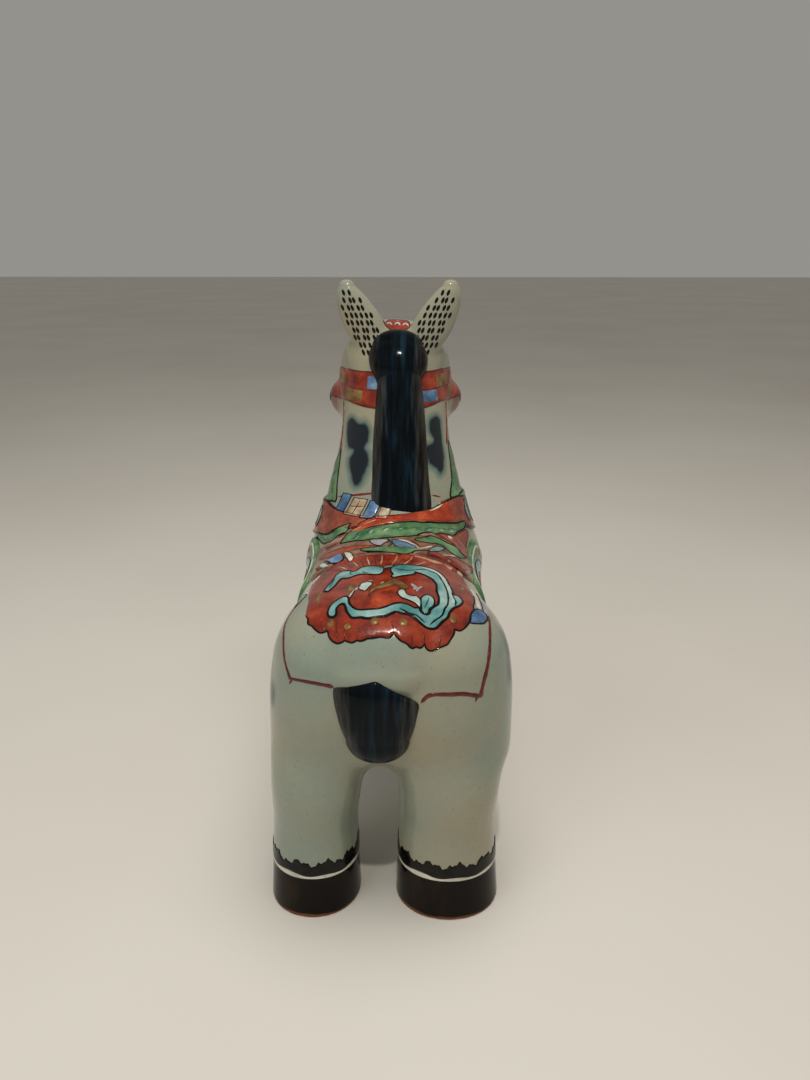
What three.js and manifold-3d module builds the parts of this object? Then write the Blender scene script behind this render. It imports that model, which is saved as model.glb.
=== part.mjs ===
// A caparisoned porcelain horse, modelled as the clay members that a potter casts and lutes together.
// Millimetres, +Z up, +Y towards the nose, +X the horse's right side. The origin is on the table, under
// the middle of the horse.
import * as THREE from "three";
import { mergeVertices } from "three/addons/utils/BufferGeometryUtils.js";
import Module from "manifold-3d";

const wasm = await Module();
wasm.setup();

// ---- Driving dimensions ----
const WALL = 4.5; // wall of the hollow castings
const JOINT = 0.3; // slip joint between two members
const VENT_RADIUS = 4; // firing vent in the belly
const VENT_RUN = [[0, -12, 20], [0, -12, 60]]; // from under the belly into the hollow
const THROAT_RADIUS = 9; // openings from the trunk to the neck and from the neck to the head
const THROAT_RUN = [[0, 24, 80], [0, 32, 112]];
const CROWN_RUN = [[0, 34, 122], [0, 46, 146]];
const HOOF_TOP = 13.8; // height of the coronet line
const DOCK_BOTTOM = 79; // height where the dock ends and the tail hangs free
const CLOTH = 1.6; // relief of the collar
const SEAT_RELIEF = 2.6; // relief of the saddle seat
const ARCH_RELIEF = 3.4; // relief of the two saddle arches
const FLAP_RELIEF = 2.2; // relief of the saddle flaps
const SEAT_HALF_WIDTH = 21;
const ARCH_HALF_WIDTH = 24;
const FLAP_INNER_EDGE = 25; // distance of a flap's top from the middle
const SCOOP_REACH = 3.4; // how far forward of the ear's own spine its hollow runs
const SCOOP_INSET = 1.1; // wall left at each side of that hollow
const BIG = 400; // larger than the horse, for cutting blocks

// Each loft is a list of stations along a spine: centre x, y and z, half width across the horse, and
// half depth along the section's other axis. The horse was put together by hand, so its members sit a
// little off its middle: in x for a single member, and by lean for both members of a mirrored pair.
const TRUNK = {
  stations: [
    { x: 1, y: -81, z: 68, across: 31, deep: 24.5 },
    { x: 1.4, y: -60, z: 70.5, across: 35.5, deep: 28 },
    { x: 0.6, y: -38, z: 71.5, across: 33, deep: 27.5 },
    { x: -0.3, y: -12, z: 71.5, across: 30.4, deep: 25.5 },
    { x: -0.5, y: 12, z: 72.5, across: 31, deep: 26 },
    { x: -0.5, y: 34, z: 71.5, across: 31.5, deep: 26 },
    { x: -0.5, y: 55, z: 70, across: 25, deep: 23 },
  ],
  caps: [0.2, 0.2],
  squareness: 2.3,
  around: 28,
  along: 20,
};
const NECK = {
  stations: [
    { x: -0.5, y: 24, z: 78, across: 29, deep: 25 },
    { x: -0.5, y: 27, z: 99, across: 26.4, deep: 21.5 },
    { x: -0.5, y: 33, z: 121, across: 21.2, deep: 18 },
    { x: -0.6, y: 39, z: 141, across: 18.8, deep: 16 },
    { x: -0.6, y: 42, z: 156, across: 16, deep: 12 },
  ],
  caps: [0.12, 0.14],
  squareness: 2.1,
  around: 22,
  along: 12,
};
const HEAD = {
  stations: [
    { x: -0.8, y: 33, z: 154, across: 16, deep: 12 },
    { x: -0.9, y: 46, z: 146, across: 22, deep: 19 },
    { x: -1.1, y: 58, z: 133, across: 21, deep: 17.5 },
    { x: -1.1, y: 68.5, z: 117, across: 15.5, deep: 13.5 },
    { x: -1.1, y: 76.5, z: 99, across: 13.5, deep: 11.5 },
  ],
  caps: [0.2, 0.22],
  squareness: 2.15,
  around: 20,
  along: 14,
};
const EYE = { x: 19, lean: -1.1, y: 53, z: 134, radius: 8, flatten: 0.9 };
const BORE_DETAIL = { around: 14, along: 10 }; // the inside of a casting is coarser than its outside
const HIND_LEG = {
  stations: [
    { x: 18.5, lean: 0.8, y: -56, z: 82, across: 14, deep: 19 },
    { x: 19.1, lean: 0.7, y: -60, z: 64, across: 15.8, deep: 19.5 },
    { x: 19.6, lean: 0.2, y: -62, z: 50, across: 15.3, deep: 17 },
    { x: 20, lean: -0.7, y: -64, z: 38, across: 14.4, deep: 14.5 },
    { x: 20.1, lean: -1.3, y: -65.5, z: 26, across: 14.2, deep: 13.4 },
    { x: 20.3, lean: -1.3, y: -65.5, z: 14, across: 14.5, deep: 13.6 },
    { x: 20.8, lean: -1.3, y: -65.5, z: -14, across: 15.6, deep: 15.2 },
  ],
  caps: [0.1, 0.04],
  squareness: 2.1,
  around: 18,
  along: 12,
};
const FORE_LEG = {
  stations: [
    { x: 17, lean: -0.5, y: 32, z: 80, across: 13, deep: 17 },
    { x: 18, lean: -0.5, y: 33, z: 62, across: 14.2, deep: 16.5 },
    { x: 18.8, lean: -0.5, y: 34, z: 47, across: 13.6, deep: 14.5 },
    { x: 19.2, lean: -0.5, y: 34, z: 31, across: 13, deep: 12.8 },
    { x: 19.2, lean: -0.5, y: 34, z: 14, across: 13.6, deep: 13 },
    { x: 19.6, lean: -0.5, y: 34, z: -14, across: 15, deep: 14.6 },
  ],
  caps: [0.1, 0.04],
  squareness: 2.1,
  around: 18,
  along: 12,
};
const TAIL = {
  stations: [
    { x: -1.5, y: -64, z: 97, across: 10.5, deep: 4 },
    { x: -1.5, y: -73, z: 90, across: 12.8, deep: 6 },
    { x: -1.5, y: -77.6, z: 78, across: 12.6, deep: 6.2 },
    { x: -1.5, y: -79, z: 68, across: 10.6, deep: 5 },
    { x: -1.5, y: -79.2, z: 57, across: 6.5, deep: 3.6 },
  ],
  caps: [0.14, 0.16],
  squareness: 2.6,
  around: 16,
  along: 10,
};
const MANE = {
  stations: [
    { x: 3.2, y: 9.5, z: 97.5, across: 10.4, deep: 5.4 },
    { x: 2.6, y: 14, z: 114, across: 9.2, deep: 6 },
    { x: 2.6, y: 20, z: 131, across: 8.8, deep: 6.4 },
    { x: 2, y: 25.5, z: 147, across: 9.5, deep: 6 },
  ],
  caps: [0.08, 0.1],
  squareness: 2.3,
  around: 14,
  along: 10,
};
const TOPKNOT = {
  stations: [
    { x: 1, y: 22, z: 142, across: 6, deep: 4.5 },
    { x: 1, y: 26.5, z: 150, across: 9.2, deep: 7.2 },
    { x: 0.7, y: 31, z: 158.5, across: 11, deep: 7.5 },
    { x: 0.5, y: 36, z: 164, across: 8, deep: 5 },
  ],
  caps: [0.3, 0.3],
  squareness: 2.1,
  around: 16,
  along: 10,
};
const EAR = {
  stations: [
    { x: 7.2, lean: 0.9, y: 35, z: 152, across: 4.6, deep: 4 },
    { x: 10.2, lean: 0.9, y: 34.6, z: 160, across: 6.6, deep: 4 },
    { x: 13.7, lean: 0.9, y: 34.8, z: 168, across: 6.8, deep: 3.6 },
    { x: 17.1, lean: 0.9, y: 35.2, z: 175, across: 5.2, deep: 2.9 },
    { x: 18.9, lean: 0.9, y: 35.6, z: 180, across: 2.6, deep: 2 },
  ],
  caps: [0.12, 0.2],
  squareness: 2,
  around: 14,
  along: 10,
};

const GLAZES = {
  celadon: { color: 0xc3c9b8, roughness: 0.14 },
  cobalt: { color: 0x16242d, roughness: 0.1 },
  hoof: { color: 0x1a100b, roughness: 0.2 },
  ironRed: { color: 0xa43a1c, roughness: 0.22 },
  green: { color: 0x3f8a52, roughness: 0.18 },
  turquoise: { color: 0x5fb3ad, roughness: 0.18 },
};

// ---- Solids ----

function solidOf(geometry) {
  const bare = geometry.clone();
  bare.deleteAttribute("normal");
  bare.deleteAttribute("uv");
  const merged = mergeVertices(bare, 1e-3);
  return new wasm.Manifold(
    new wasm.Mesh({
      numProp: 3,
      vertProperties: merged.attributes.position.array,
      triVerts: new Uint32Array(merged.index.array),
    }),
  );
}

function meshOf(solid, name, glaze) {
  const { vertProperties, triVerts } = solid.getMesh();
  const geometry = new THREE.BufferGeometry()
    .setAttribute("position", new THREE.BufferAttribute(vertProperties, 3))
    .setIndex(new THREE.BufferAttribute(triVerts, 1));
  geometry.computeVertexNormals();
  const mesh = new THREE.Mesh(geometry, new THREE.MeshStandardMaterial({ ...GLAZES[glaze], metalness: 0 }));
  mesh.name = name;
  return mesh;
}

// A rounded body along a spine of stations. It is a unit sphere whose latitude is spread along the
// spine and whose longitude runs round each section. grow pushes its surface out, or in when negative.
function loft({ stations, caps, squareness, around, along }, { side = 1, grow = 0 } = {}) {
  const centres = stations.map(({ x, lean = 0, y, z }) => new THREE.Vector3(side * x + lean, y, z));
  const spine = new THREE.CatmullRomCurve3(centres, false, "catmullrom", 0.5);
  const sizes = new THREE.CatmullRomCurve3(
    stations.map(({ across, deep }) => new THREE.Vector3(across, deep, 0)),
    false,
    "catmullrom",
    0.5,
  );
  const geometry = new THREE.SphereGeometry(1, around, along);
  const position = geometry.attributes.position;
  const unit = new THREE.Vector3();
  for (let i = 0; i < position.count; i++) {
    unit.fromBufferAttribute(position, i);
    const t = (1 - unit.y) / 2;
    const intoCap = Math.max(0, 1 - t / caps[0], 1 - (1 - t) / caps[1]);
    const girth = Math.sqrt(1 - Math.min(1, intoCap) ** 2);
    const turn = Math.atan2(unit.z, unit.x);
    const [cos, sin] = [Math.cos(turn), Math.sin(turn)];
    const square = (Math.abs(cos) ** squareness + Math.abs(sin) ** squareness) ** (-1 / squareness);
    const centre = spine.getPoint(t);
    const heading = spine.getTangent(t);
    const size = sizes.getPoint(t);
    const reach = intoCap > 0 ? grow * Math.sign(t - 0.5) * Math.min(1, intoCap) : 0;
    const normal = new THREE.Vector3(0, heading.z, -heading.y).normalize();
    centre.addScaledVector(heading, reach);
    centre.x += (size.x + grow) * girth * square * cos;
    centre.addScaledVector(normal, (size.y + grow) * girth * square * sin);
    position.setXYZ(i, centre.x, centre.y, centre.z);
  }
  return solidOf(geometry);
}

function bore(form) {
  return loft({ ...form, ...BORE_DETAIL }, { grow: -WALL });
}

function block([x0, x1], [y0, y1], [z0, z1]) {
  const box = new THREE.BoxGeometry(x1 - x0, y1 - y0, z1 - z0);
  return solidOf(box.translate((x0 + x1) / 2, (y0 + y1) / 2, (z0 + z1) / 2));
}

function rod(radius, from, to) {
  const [start, end] = [new THREE.Vector3(...from), new THREE.Vector3(...to)];
  const reach = end.clone().sub(start);
  const upright = new THREE.Vector3(0, 1, 0);
  const turn = new THREE.Quaternion().setFromUnitVectors(upright, reach.clone().normalize());
  const shape = new THREE.CylinderGeometry(radius, radius, reach.length(), 24);
  shape.applyQuaternion(turn).translate(...start.add(end).divideScalar(2).toArray());
  return solidOf(shape);
}

// A block with an outline in side view, [y, z], reaching across the horse from x = from to x = to.
function sideBlock(outline, from, to) {
  const shape = new THREE.Shape(outline.map(([y, z]) => new THREE.Vector2(y, z)));
  const geometry = new THREE.ExtrudeGeometry(shape, { depth: to - from, bevelEnabled: false });
  // The shape's plane turns to YZ and its depth to +X
  geometry.rotateX(Math.PI / 2).rotateZ(Math.PI / 2).translate(from, 0, 0);
  return solidOf(geometry);
}

function roundedRectangle(y0, y1, z0, z1, radius) {
  const corners = [
    [y1 - radius, z1 - radius, 0],
    [y0 + radius, z1 - radius, 1],
    [y0 + radius, z0 + radius, 2],
    [y1 - radius, z0 + radius, 3],
  ];
  const steps = 5;
  return corners.flatMap(([y, z, quarter]) =>
    Array.from({ length: steps + 1 }, (_, i) => {
      const angle = ((quarter + i / steps) * Math.PI) / 2;
      return [y + radius * Math.cos(angle), z + radius * Math.sin(angle)];
    }),
  );
}

// ---- Members ----

const trunkJoint = loft(TRUNK, { grow: JOINT });
const neckJoint = loft(NECK, { grow: JOINT });
const headForm = (grow) =>
  [-1, 1].reduce((form, side) => form.add(eye(side, grow)), loft(HEAD, { grow }));
const headJoint = headForm(JOINT);

function eye(side, grow) {
  const ball = new THREE.SphereGeometry(EYE.radius + grow, 16, 12);
  return solidOf(ball.scale(EYE.flatten, 1, 1).translate(side * EYE.x + EYE.lean, EYE.y, EYE.z));
}

const throat = rod(THROAT_RADIUS, ...THROAT_RUN);
const crown = rod(THROAT_RADIUS, ...CROWN_RUN);

function trunkShell(side) {
  const vent = rod(VENT_RADIUS, ...VENT_RUN);
  const across = side > 0 ? [JOINT / 2, BIG] : [-BIG, -JOINT / 2];
  const half = block(across, [-BIG, BIG], [0, BIG]);
  return loft(TRUNK).subtract(bore(TRUNK)).subtract(vent).subtract(throat).intersect(half);
}

function neckShell() {
  return loft(NECK).subtract(trunkJoint).subtract(headJoint).subtract(bore(NECK));
}

function headShell() {
  return headForm(0).subtract(bore(HEAD)).subtract(crown);
}

function leg(form, side) {
  const shaft = block([-BIG, BIG], [-BIG, BIG], [HOOF_TOP + JOINT, BIG]);
  return loft(form, { side }).subtract(trunkJoint).intersect(shaft);
}

function hoof(form, side) {
  return loft(form, { side }).intersect(block([-BIG, BIG], [-BIG, BIG], [0, HOOF_TOP]));
}

// The tail lies against the rump between the thighs. Its dock, above DOCK_BOTTOM, is a member of its own.
function tailBetween(heights) {
  const thighs = [-1, 1].map((side) => loft(HIND_LEG, { side, grow: JOINT }));
  const whole = thighs.reduce((form, thigh) => form.subtract(thigh), loft(TAIL).subtract(trunkJoint));
  return whole.intersect(block([-BIG, BIG], [-BIG, BIG], heights));
}

function topknot() {
  return loft(TOPKNOT).subtract(headJoint).subtract(neckJoint);
}

function maneRidge() {
  return loft(MANE).subtract(neckJoint).subtract(trunkJoint).subtract(knotJoint).subtract(headJoint);
}

// The back of the ear is round and its front is scooped.
function ear(side) {
  const forward = EAR.stations.map((station) => ({ ...station, y: station.y + SCOOP_REACH }));
  const scoop = loft({ ...EAR, stations: forward }, { side, grow: -SCOOP_INSET });
  return loft(EAR, { side }).subtract(scoop).subtract(headJoint).subtract(neckJoint).subtract(knotJoint);
}

// A layer of cloth modelled on the trunk and the neck, inside a side-view outline.
function cloth(outline, relief, { from = -BIG, to = BIG, neck = false } = {}) {
  const bare = neck ? trunkJoint.add(neckJoint) : trunkJoint;
  const covered = loft(TRUNK, { grow: relief });
  const raised = neck ? covered.add(loft(NECK, { grow: relief })) : covered;
  return raised.intersect(sideBlock(outline, from, to)).subtract(bare);
}

const COLLAR_OUTLINE = [
  [-3.7, 104],
  [-3.7, 96],
  [8, 92],
  [26, 88],
  [60, 80],
  [80, 80],
  [80, 108],
  [44, 104],
  [28, 107],
  [5.5, 104],
];
const SEAT_OUTLINE = roundedRectangle(-25.5, -8.5, 90, 110, 2);
const FRONT_ARCH_OUTLINE = [
  [-8.2, 84.5],
  [-4, 84.5],
  [-4, 110],
  [-8.2, 110],
];
const REAR_ARCH_OUTLINE = [
  [-30, 84.5],
  [-25.8, 84.5],
  [-25.8, 110],
  [-30, 110],
];
const FLAP_OUTLINE = roundedRectangle(-21, 18, 54, 89, 8);

const maneJoint = loft(MANE, { grow: JOINT });
const knotJoint = loft(TOPKNOT, { grow: JOINT });
const collar = cloth(COLLAR_OUTLINE, CLOTH, { neck: true }).subtract(maneJoint).subtract(knotJoint);
const flap = (side) =>
  cloth(FLAP_OUTLINE, FLAP_RELIEF, side > 0 ? { from: FLAP_INNER_EDGE } : { to: -FLAP_INNER_EDGE });

// ---- The horse ----

const horse = new THREE.Group();
horse.name = "caparisoned_porcelain_horse";
const add = (name, glaze, solid) => horse.add(meshOf(solid, name, glaze));

add("trunk_left_shell", "celadon", trunkShell(-1));
add("trunk_right_shell", "celadon", trunkShell(1));
add("neck_shell", "celadon", neckShell());
add("head_shell", "celadon", headShell());
add("tail_dock", "celadon", tailBetween([DOCK_BOTTOM + JOINT, BIG]));
add("tail", "cobalt", tailBetween([0, DOCK_BOTTOM]));
add("mane_ridge", "cobalt", maneRidge());
add("topknot", "cobalt", topknot());
for (const [label, side] of [
  ["left", -1],
  ["right", 1],
]) {
  add(`${label}_ear`, "celadon", ear(side));
  add(`hind_${label}_leg`, "celadon", leg(HIND_LEG, side));
  add(`hind_${label}_hoof`, "hoof", hoof(HIND_LEG, side));
  add(`fore_${label}_leg`, "celadon", leg(FORE_LEG, side));
  add(`fore_${label}_hoof`, "hoof", hoof(FORE_LEG, side));
  add(`${label}_saddle_flap`, "turquoise", flap(side));
}
add("collar_cloth", "ironRed", collar);
const seatWidth = { from: -SEAT_HALF_WIDTH, to: SEAT_HALF_WIDTH };
add("saddle_seat", "ironRed", cloth(SEAT_OUTLINE, SEAT_RELIEF, seatWidth));
const arch = (outline) => cloth(outline, ARCH_RELIEF, { from: -ARCH_HALF_WIDTH, to: ARCH_HALF_WIDTH });
add("saddle_front_arch", "green", arch(FRONT_ARCH_OUTLINE));
add("saddle_rear_arch", "green", arch(REAR_ARCH_OUTLINE));

export default horse;
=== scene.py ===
"""A glazed porcelain horse with a painted saddle cloth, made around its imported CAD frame.

Lengths are millimetres until a mesh is made, +Z is up, the head points to +Y and -X is the horse's left.
The body is one smooth implicit surface that is then parted along the potter's joints. The enamel is laid
on it in thin raised shapes, drawn flat on charts whose rays carry them onto the glaze.
"""

import math

import bpy
import numpy as np
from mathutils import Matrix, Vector
from mathutils.bvhtree import BVHTree
from mathutils.geometry import delaunay_2d_cdt


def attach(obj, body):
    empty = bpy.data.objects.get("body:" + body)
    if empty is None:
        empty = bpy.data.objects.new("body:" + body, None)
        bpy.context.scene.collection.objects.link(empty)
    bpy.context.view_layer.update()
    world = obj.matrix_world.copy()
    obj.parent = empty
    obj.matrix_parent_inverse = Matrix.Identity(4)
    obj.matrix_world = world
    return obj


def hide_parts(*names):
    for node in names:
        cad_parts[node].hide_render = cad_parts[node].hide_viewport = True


METRE = 0.001
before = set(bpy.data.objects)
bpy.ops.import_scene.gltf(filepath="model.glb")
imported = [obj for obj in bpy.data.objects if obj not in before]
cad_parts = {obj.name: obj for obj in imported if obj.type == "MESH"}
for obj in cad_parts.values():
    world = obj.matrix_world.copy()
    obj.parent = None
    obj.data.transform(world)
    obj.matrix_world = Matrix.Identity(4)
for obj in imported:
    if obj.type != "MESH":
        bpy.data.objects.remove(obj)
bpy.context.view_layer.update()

# ---------------------------------------------------------------- camera, floor and lights

CAMERA_PLACE = (10.7, -271.6, 190.0)
CAMERA_DOWN = 19.7
CAMERA_LEFT = 1.4
LENS = 27.03
SENSOR = 36.0
NEAREST = 10.0  # nothing nearer the camera than this is seen
FLOOR_REACH = 6000.0


def add_camera():
    """Looks at the horse from behind and a little above."""
    data = bpy.data.cameras.new("camera")
    data.lens = LENS
    data.sensor_width = SENSOR
    data.clip_start = NEAREST * METRE
    camera = bpy.data.objects.new("camera", data)
    camera.location = Vector(CAMERA_PLACE) * METRE
    camera.rotation_euler = (math.radians(90 - CAMERA_DOWN), 0, math.radians(CAMERA_LEFT))
    bpy.context.collection.objects.link(camera)
    bpy.context.scene.camera = camera


def add_softbox(name, place, aim, side, power, colour, mirrored_in_glaze):
    """A square area light at place that faces the point aim."""
    data = bpy.data.lights.new(name, "AREA")
    data.shape = "SQUARE"
    data.size = side * METRE
    data.energy = power
    data.color = colour
    lamp = bpy.data.objects.new(name, data)
    lamp.location = Vector(place) * METRE
    lamp.rotation_euler = (Vector(aim) - Vector(place)).to_track_quat("-Z", "Y").to_euler()
    lamp.visible_glossy = mirrored_in_glaze
    bpy.context.collection.objects.link(lamp)


def add_floor(material):
    """A wide pale floor, which isn't part of the horse."""
    mesh = bpy.data.meshes.new("floor")
    reach = FLOOR_REACH * METRE
    corners = [(-reach, -reach, 0), (reach, -reach, 0), (reach, reach, 0), (-reach, reach, 0)]
    mesh.from_pydata(corners, [], [(0, 1, 2, 3)])
    floor = bpy.data.objects.new("floor", mesh)
    mesh.materials.append(material)
    bpy.context.collection.objects.link(floor)


def add_surroundings(colour, strength):
    """Even light from all around."""
    world = bpy.data.worlds.new("studio")
    world.use_nodes = True
    background = world.node_tree.nodes["Background"]
    background.inputs["Color"].default_value = colour
    background.inputs["Strength"].default_value = strength
    bpy.context.scene.world = world


# ---------------------------------------------------------------- implicit forms

NEAR_STEP = 4  # the first search looks at every fourth sample of a spine
REFINES = 4
MARGIN = 14.0  # a form further off than this can't touch a blend
FAR = 30.0
SMALL = 1e-6  # a length in millimetres, or a share of a form's size, that counts as nothing
TINY = 1e-9  # the least length or area to divide by


def span_of(a, b, c, d, t):
    """A Catmull-Rom curve from b to c at the shares t."""
    return (2 * b + (c - a) * t + (2 * a - 5 * b + 4 * c - d) * t**2 + (3 * b - a - 3 * c + d) * t**3) / 2


def smooth_rows(stations, steps=12):
    """Catmull-Rom samples of rows of numbers."""
    rows = np.array(stations, float)
    padded = np.vstack([2 * rows[0] - rows[1], rows, 2 * rows[-1] - rows[-2]])
    t = np.arange(steps)[:, None] / steps
    out = []
    for four in zip(padded, padded[1:], padded[2:], padded[3:]):
        out.append(span_of(*four, t))
    return np.vstack(out + [rows[-1:]])


class Limb:
    """An oval section swept along a spine. A station is x, y, z, half width, half depth."""

    def __init__(self, stations, ends, power=2.1, side=1, shift=0.0, scale=1.0):
        rows = np.array(stations, float)
        rows[:, 0] = rows[:, 0] * side + shift
        rows[:, 3] *= scale
        self.rows = smooth_rows(rows)
        step = np.gradient(self.rows[:, 1:3], axis=0)
        self.pitch = np.linalg.norm(step, axis=1)
        self.heading = step / self.pitch[:, None]
        self.ends = ends
        self.power = power
        reach = self.rows[:, 3:].max() + max(ends)
        self.low = self.rows[:, :3].min(0) - reach
        self.high = self.rows[:, :3].max(0) + reach

    def at(self, place):
        """The spine's row and heading at a fractional sample number."""
        first = np.clip(place.astype(int), 0, len(self.rows) - 2)
        mix = (place - first)[:, None]
        row = self.rows[first] * (1 - mix) + self.rows[first + 1] * mix
        heading = self.heading[first] * (1 - mix) + self.heading[first + 1] * mix
        return row, heading / np.linalg.norm(heading, axis=1, keepdims=True)

    def __call__(self, points):
        flat = points[:, 1:3]
        last = len(self.rows) - 1
        posts = self.rows[::NEAR_STEP, 1:3]
        place = ((flat[:, None] - posts) ** 2).sum(2).argmin(1) * float(NEAR_STEP)
        for _ in range(REFINES):
            row, heading = self.at(place)
            ahead = ((flat - row[:, 1:3]) * heading).sum(1)
            place = np.clip(place + ahead / self.pitch[place.astype(int)], 0, last)
        row, heading = self.at(place)
        away = flat - row[:, 1:3]
        beyond = (away * heading).sum(1)
        past = np.where(place >= last, np.maximum(beyond, 0), 0)
        past += np.where(place <= 0, np.minimum(beyond, 0), 0)
        end = np.where(past > 0, self.ends[1], self.ends[0])
        across = points[:, 0] - row[:, 0]
        deep = away[:, 0] * heading[:, 1] - away[:, 1] * heading[:, 0]
        n = self.power
        girth = (np.abs(across / row[:, 3]) ** n + np.abs(deep / row[:, 4]) ** n) ** (1 / n)
        size = np.sqrt(girth**2 + (past / end) ** 2)
        length = np.sqrt(across**2 + deep**2 + past**2)
        return length * (1 - 1 / np.maximum(size, SMALL))


class Lump:
    """An ellipsoid."""

    def __init__(self, centre, radii):
        self.centre = np.array(centre, float)
        self.radii = np.array(radii, float)
        self.low = self.centre - self.radii
        self.high = self.centre + self.radii

    def __call__(self, points):
        away = points - self.centre
        size = np.linalg.norm(away / self.radii, axis=1)
        return np.linalg.norm(away, axis=1) * (1 - 1 / np.maximum(size, SMALL))


def nearby(form, points):
    """The form's value where it matters, and FAR elsewhere."""
    out = np.full(len(points), FAR)
    close = ((points > form.low - MARGIN) & (points < form.high + MARGIN)).all(1)
    if close.any():
        out[close] = form(points[close])
    return out


def smooth_min(a, b, blend):
    """The lesser of two values, rounded where they are within blend of each other."""
    h = np.maximum(blend - np.abs(a - b), 0) / blend
    return np.minimum(a, b) - h * h * blend / 4


def smooth_max(a, b, blend):
    """The greater of two values, rounded in the same way."""
    return -smooth_min(-a, -b, blend)


# ---------------------------------------------------------------- surface nets

CORNERS = [(i, j, k) for i in (0, 1) for j in (0, 1) for k in (0, 1)]
COARSE = 3.0
CHUNK = 60000
FLAT_SLOPE = 0.05  # a gentler slope than this, squared, isn't trusted
LONGEST_MOVE = 0.8


def shifted(array, corner, size):
    """The part of array that starts at a cell corner and holds size cells."""
    return array[tuple(slice(c, n + c) for c, n in zip(corner, size))]


def grown(array, ratio):
    """Each cell of array repeated ratio times along each axis."""
    for axis in range(3):
        array = np.repeat(array, ratio, axis)
    return array


def in_chunks(field, points):
    """The field's values at many points, a part of them at a time."""
    return np.concatenate([field(points[i : i + CHUNK]) for i in range(0, len(points), CHUNK)])


def skin_of(field, low, high, cell):
    """Quads on field's zero surface. Only cells near a coarse guess of it are looked at."""
    low = np.array(low, float)
    ratio = round(COARSE / cell)
    count = np.ceil((np.array(high) - low) / COARSE).astype(int) + 1
    axes = [low[i] + COARSE * np.arange(count[i]) for i in range(3)]
    grid = np.stack(np.meshgrid(*axes, indexing="ij"), -1).reshape(-1, 3)
    rough = in_chunks(field, grid).reshape(count)
    close = np.abs(rough) < COARSE * 1.2 + 1  # a cell's half diagonal and some slack
    live = np.zeros(count - 1, bool)
    for corner in CORNERS:
        live |= shifted(close, corner, count - 1)
    fine_count = (count - 1) * ratio + 1
    fine = shifted(grown(np.sign(rough), ratio), (0, 0, 0), fine_count) * FAR
    mask = np.zeros(fine_count, bool)
    cells = grown(live, ratio)
    for corner in CORNERS:
        view = shifted(mask, corner, fine_count - 1)
        view |= cells
    fine[mask] = in_chunks(field, low + np.argwhere(mask) * cell)  # the rest only needs the right sign
    return nets(fine, low, cell)


def nets(values, low, cell):
    """One vertex in each cell that the surface crosses, and one quad round each crossed grid edge."""
    inside = values < 0
    size = np.array(values.shape) - 1
    total = sum(shifted(inside, corner, size).astype(np.int8) for corner in CORNERS)
    active = (total > 0) & (total < len(CORNERS))
    cells = np.argwhere(active)
    index = np.full(active.shape, -1)
    index[active] = np.arange(len(cells))
    level = {corner: shifted(values, corner, size)[active] for corner in CORNERS}
    place = np.zeros((len(cells), 3))
    hits = np.zeros(len(cells))
    for axis in range(3):
        for corner in (c for c in CORNERS if not c[axis]):
            other = tuple(1 if i == axis else c for i, c in enumerate(corner))
            a, b = level[corner], level[other]
            crossed = (a < 0) != (b < 0)
            point = np.tile(np.array(corner, float), (len(cells), 1))
            point[:, axis] += np.where(crossed, a / np.where(crossed, a - b, 1), 0)
            place += point * crossed[:, None]
            hits += crossed
    points = low + (cells + place / hits[:, None]) * cell
    quads = []
    for axis in range(3):
        first = [slice(1, n) for n in size]
        second = [slice(1, n) for n in size]
        first[axis], second[axis] = slice(0, size[axis]), slice(1, size[axis] + 1)
        here, there = inside[tuple(first)], inside[tuple(second)]
        u, v = np.eye(3, dtype=int)[(axis + 1) % 3], np.eye(3, dtype=int)[(axis + 2) % 3]
        for turn, where in ((1, here & ~there), (-1, ~here & there)):
            base = np.argwhere(where) + u + v
            ring = [base - u - v, base - v, base, base - u]
            quads.append(np.stack([index[tuple(c.T)] for c in ring[::turn]], 1))
    return points, np.vstack(quads)


def slope_of(field, points, step=0.5):
    """The field's gradient."""
    slope = np.empty_like(points)
    for axis in range(3):
        shift = np.zeros(3)
        shift[axis] = step
        ahead, behind = in_chunks(field, points + shift), in_chunks(field, points - shift)
        slope[:, axis] = (ahead - behind) / (2 * step)
    return slope


def settled(field, points):
    """The points moved onto the zero surface, with the normals there."""
    slope = slope_of(field, points)
    steep = np.maximum((slope**2).sum(1), FLAT_SLOPE)
    move = np.clip(in_chunks(field, points) / steep, -LONGEST_MOVE, LONGEST_MOVE)
    normals = slope / np.linalg.norm(slope, axis=1, keepdims=True)
    return points - move[:, None] * slope, normals


def halves(quads):
    """Two triangles for each quad."""
    return np.vstack([quads[:, [0, 1, 2]], quads[:, [0, 2, 3]]])


# ---------------------------------------------------------------- the horse's forms

TRUNK = [(1.3, -60, 71.5, 33, 27), (0.6, -38, 71.5, 32.2, 27.5), (-0.3, -12, 71.5, 30.4, 25.5),
         (-0.5, 12, 72.5, 31, 26), (-0.5, 34, 71.5, 31.2, 26)]
NECK = [(-0.5, 24, 80, 29, 25), (-0.5, 27, 99, 26.2, 21.5), (-0.5, 33, 121, 21, 18),
        (-0.6, 39, 141, 18.6, 16), (-0.7, 42, 152, 17, 14)]
HEAD = [(-0.8, 40, 154, 17, 12.5), (-0.9, 47, 147, 21, 17.3), (-1.1, 55, 134, 19.8, 18),
        (-1.1, 63.5, 120, 14.8, 15), (-1.1, 70, 108.5, 12.2, 12.2), (-1.1, 74, 100.5, 12, 11)]
HIND_LEG = [(18.5, -57.4, 78, 14, 19), (19.1, -58.8, 64, 15.6, 20.2), (20, -60.8, 51, 16, 16.8),
            (20, -62.8, 40, 14.3, 15.2), (20.1, -64.6, 27, 13.8, 13.9), (20.3, -65.6, 14, 14.2, 13.6),
            (20.6, -66, -8, 15.4, 14.9)]
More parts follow.
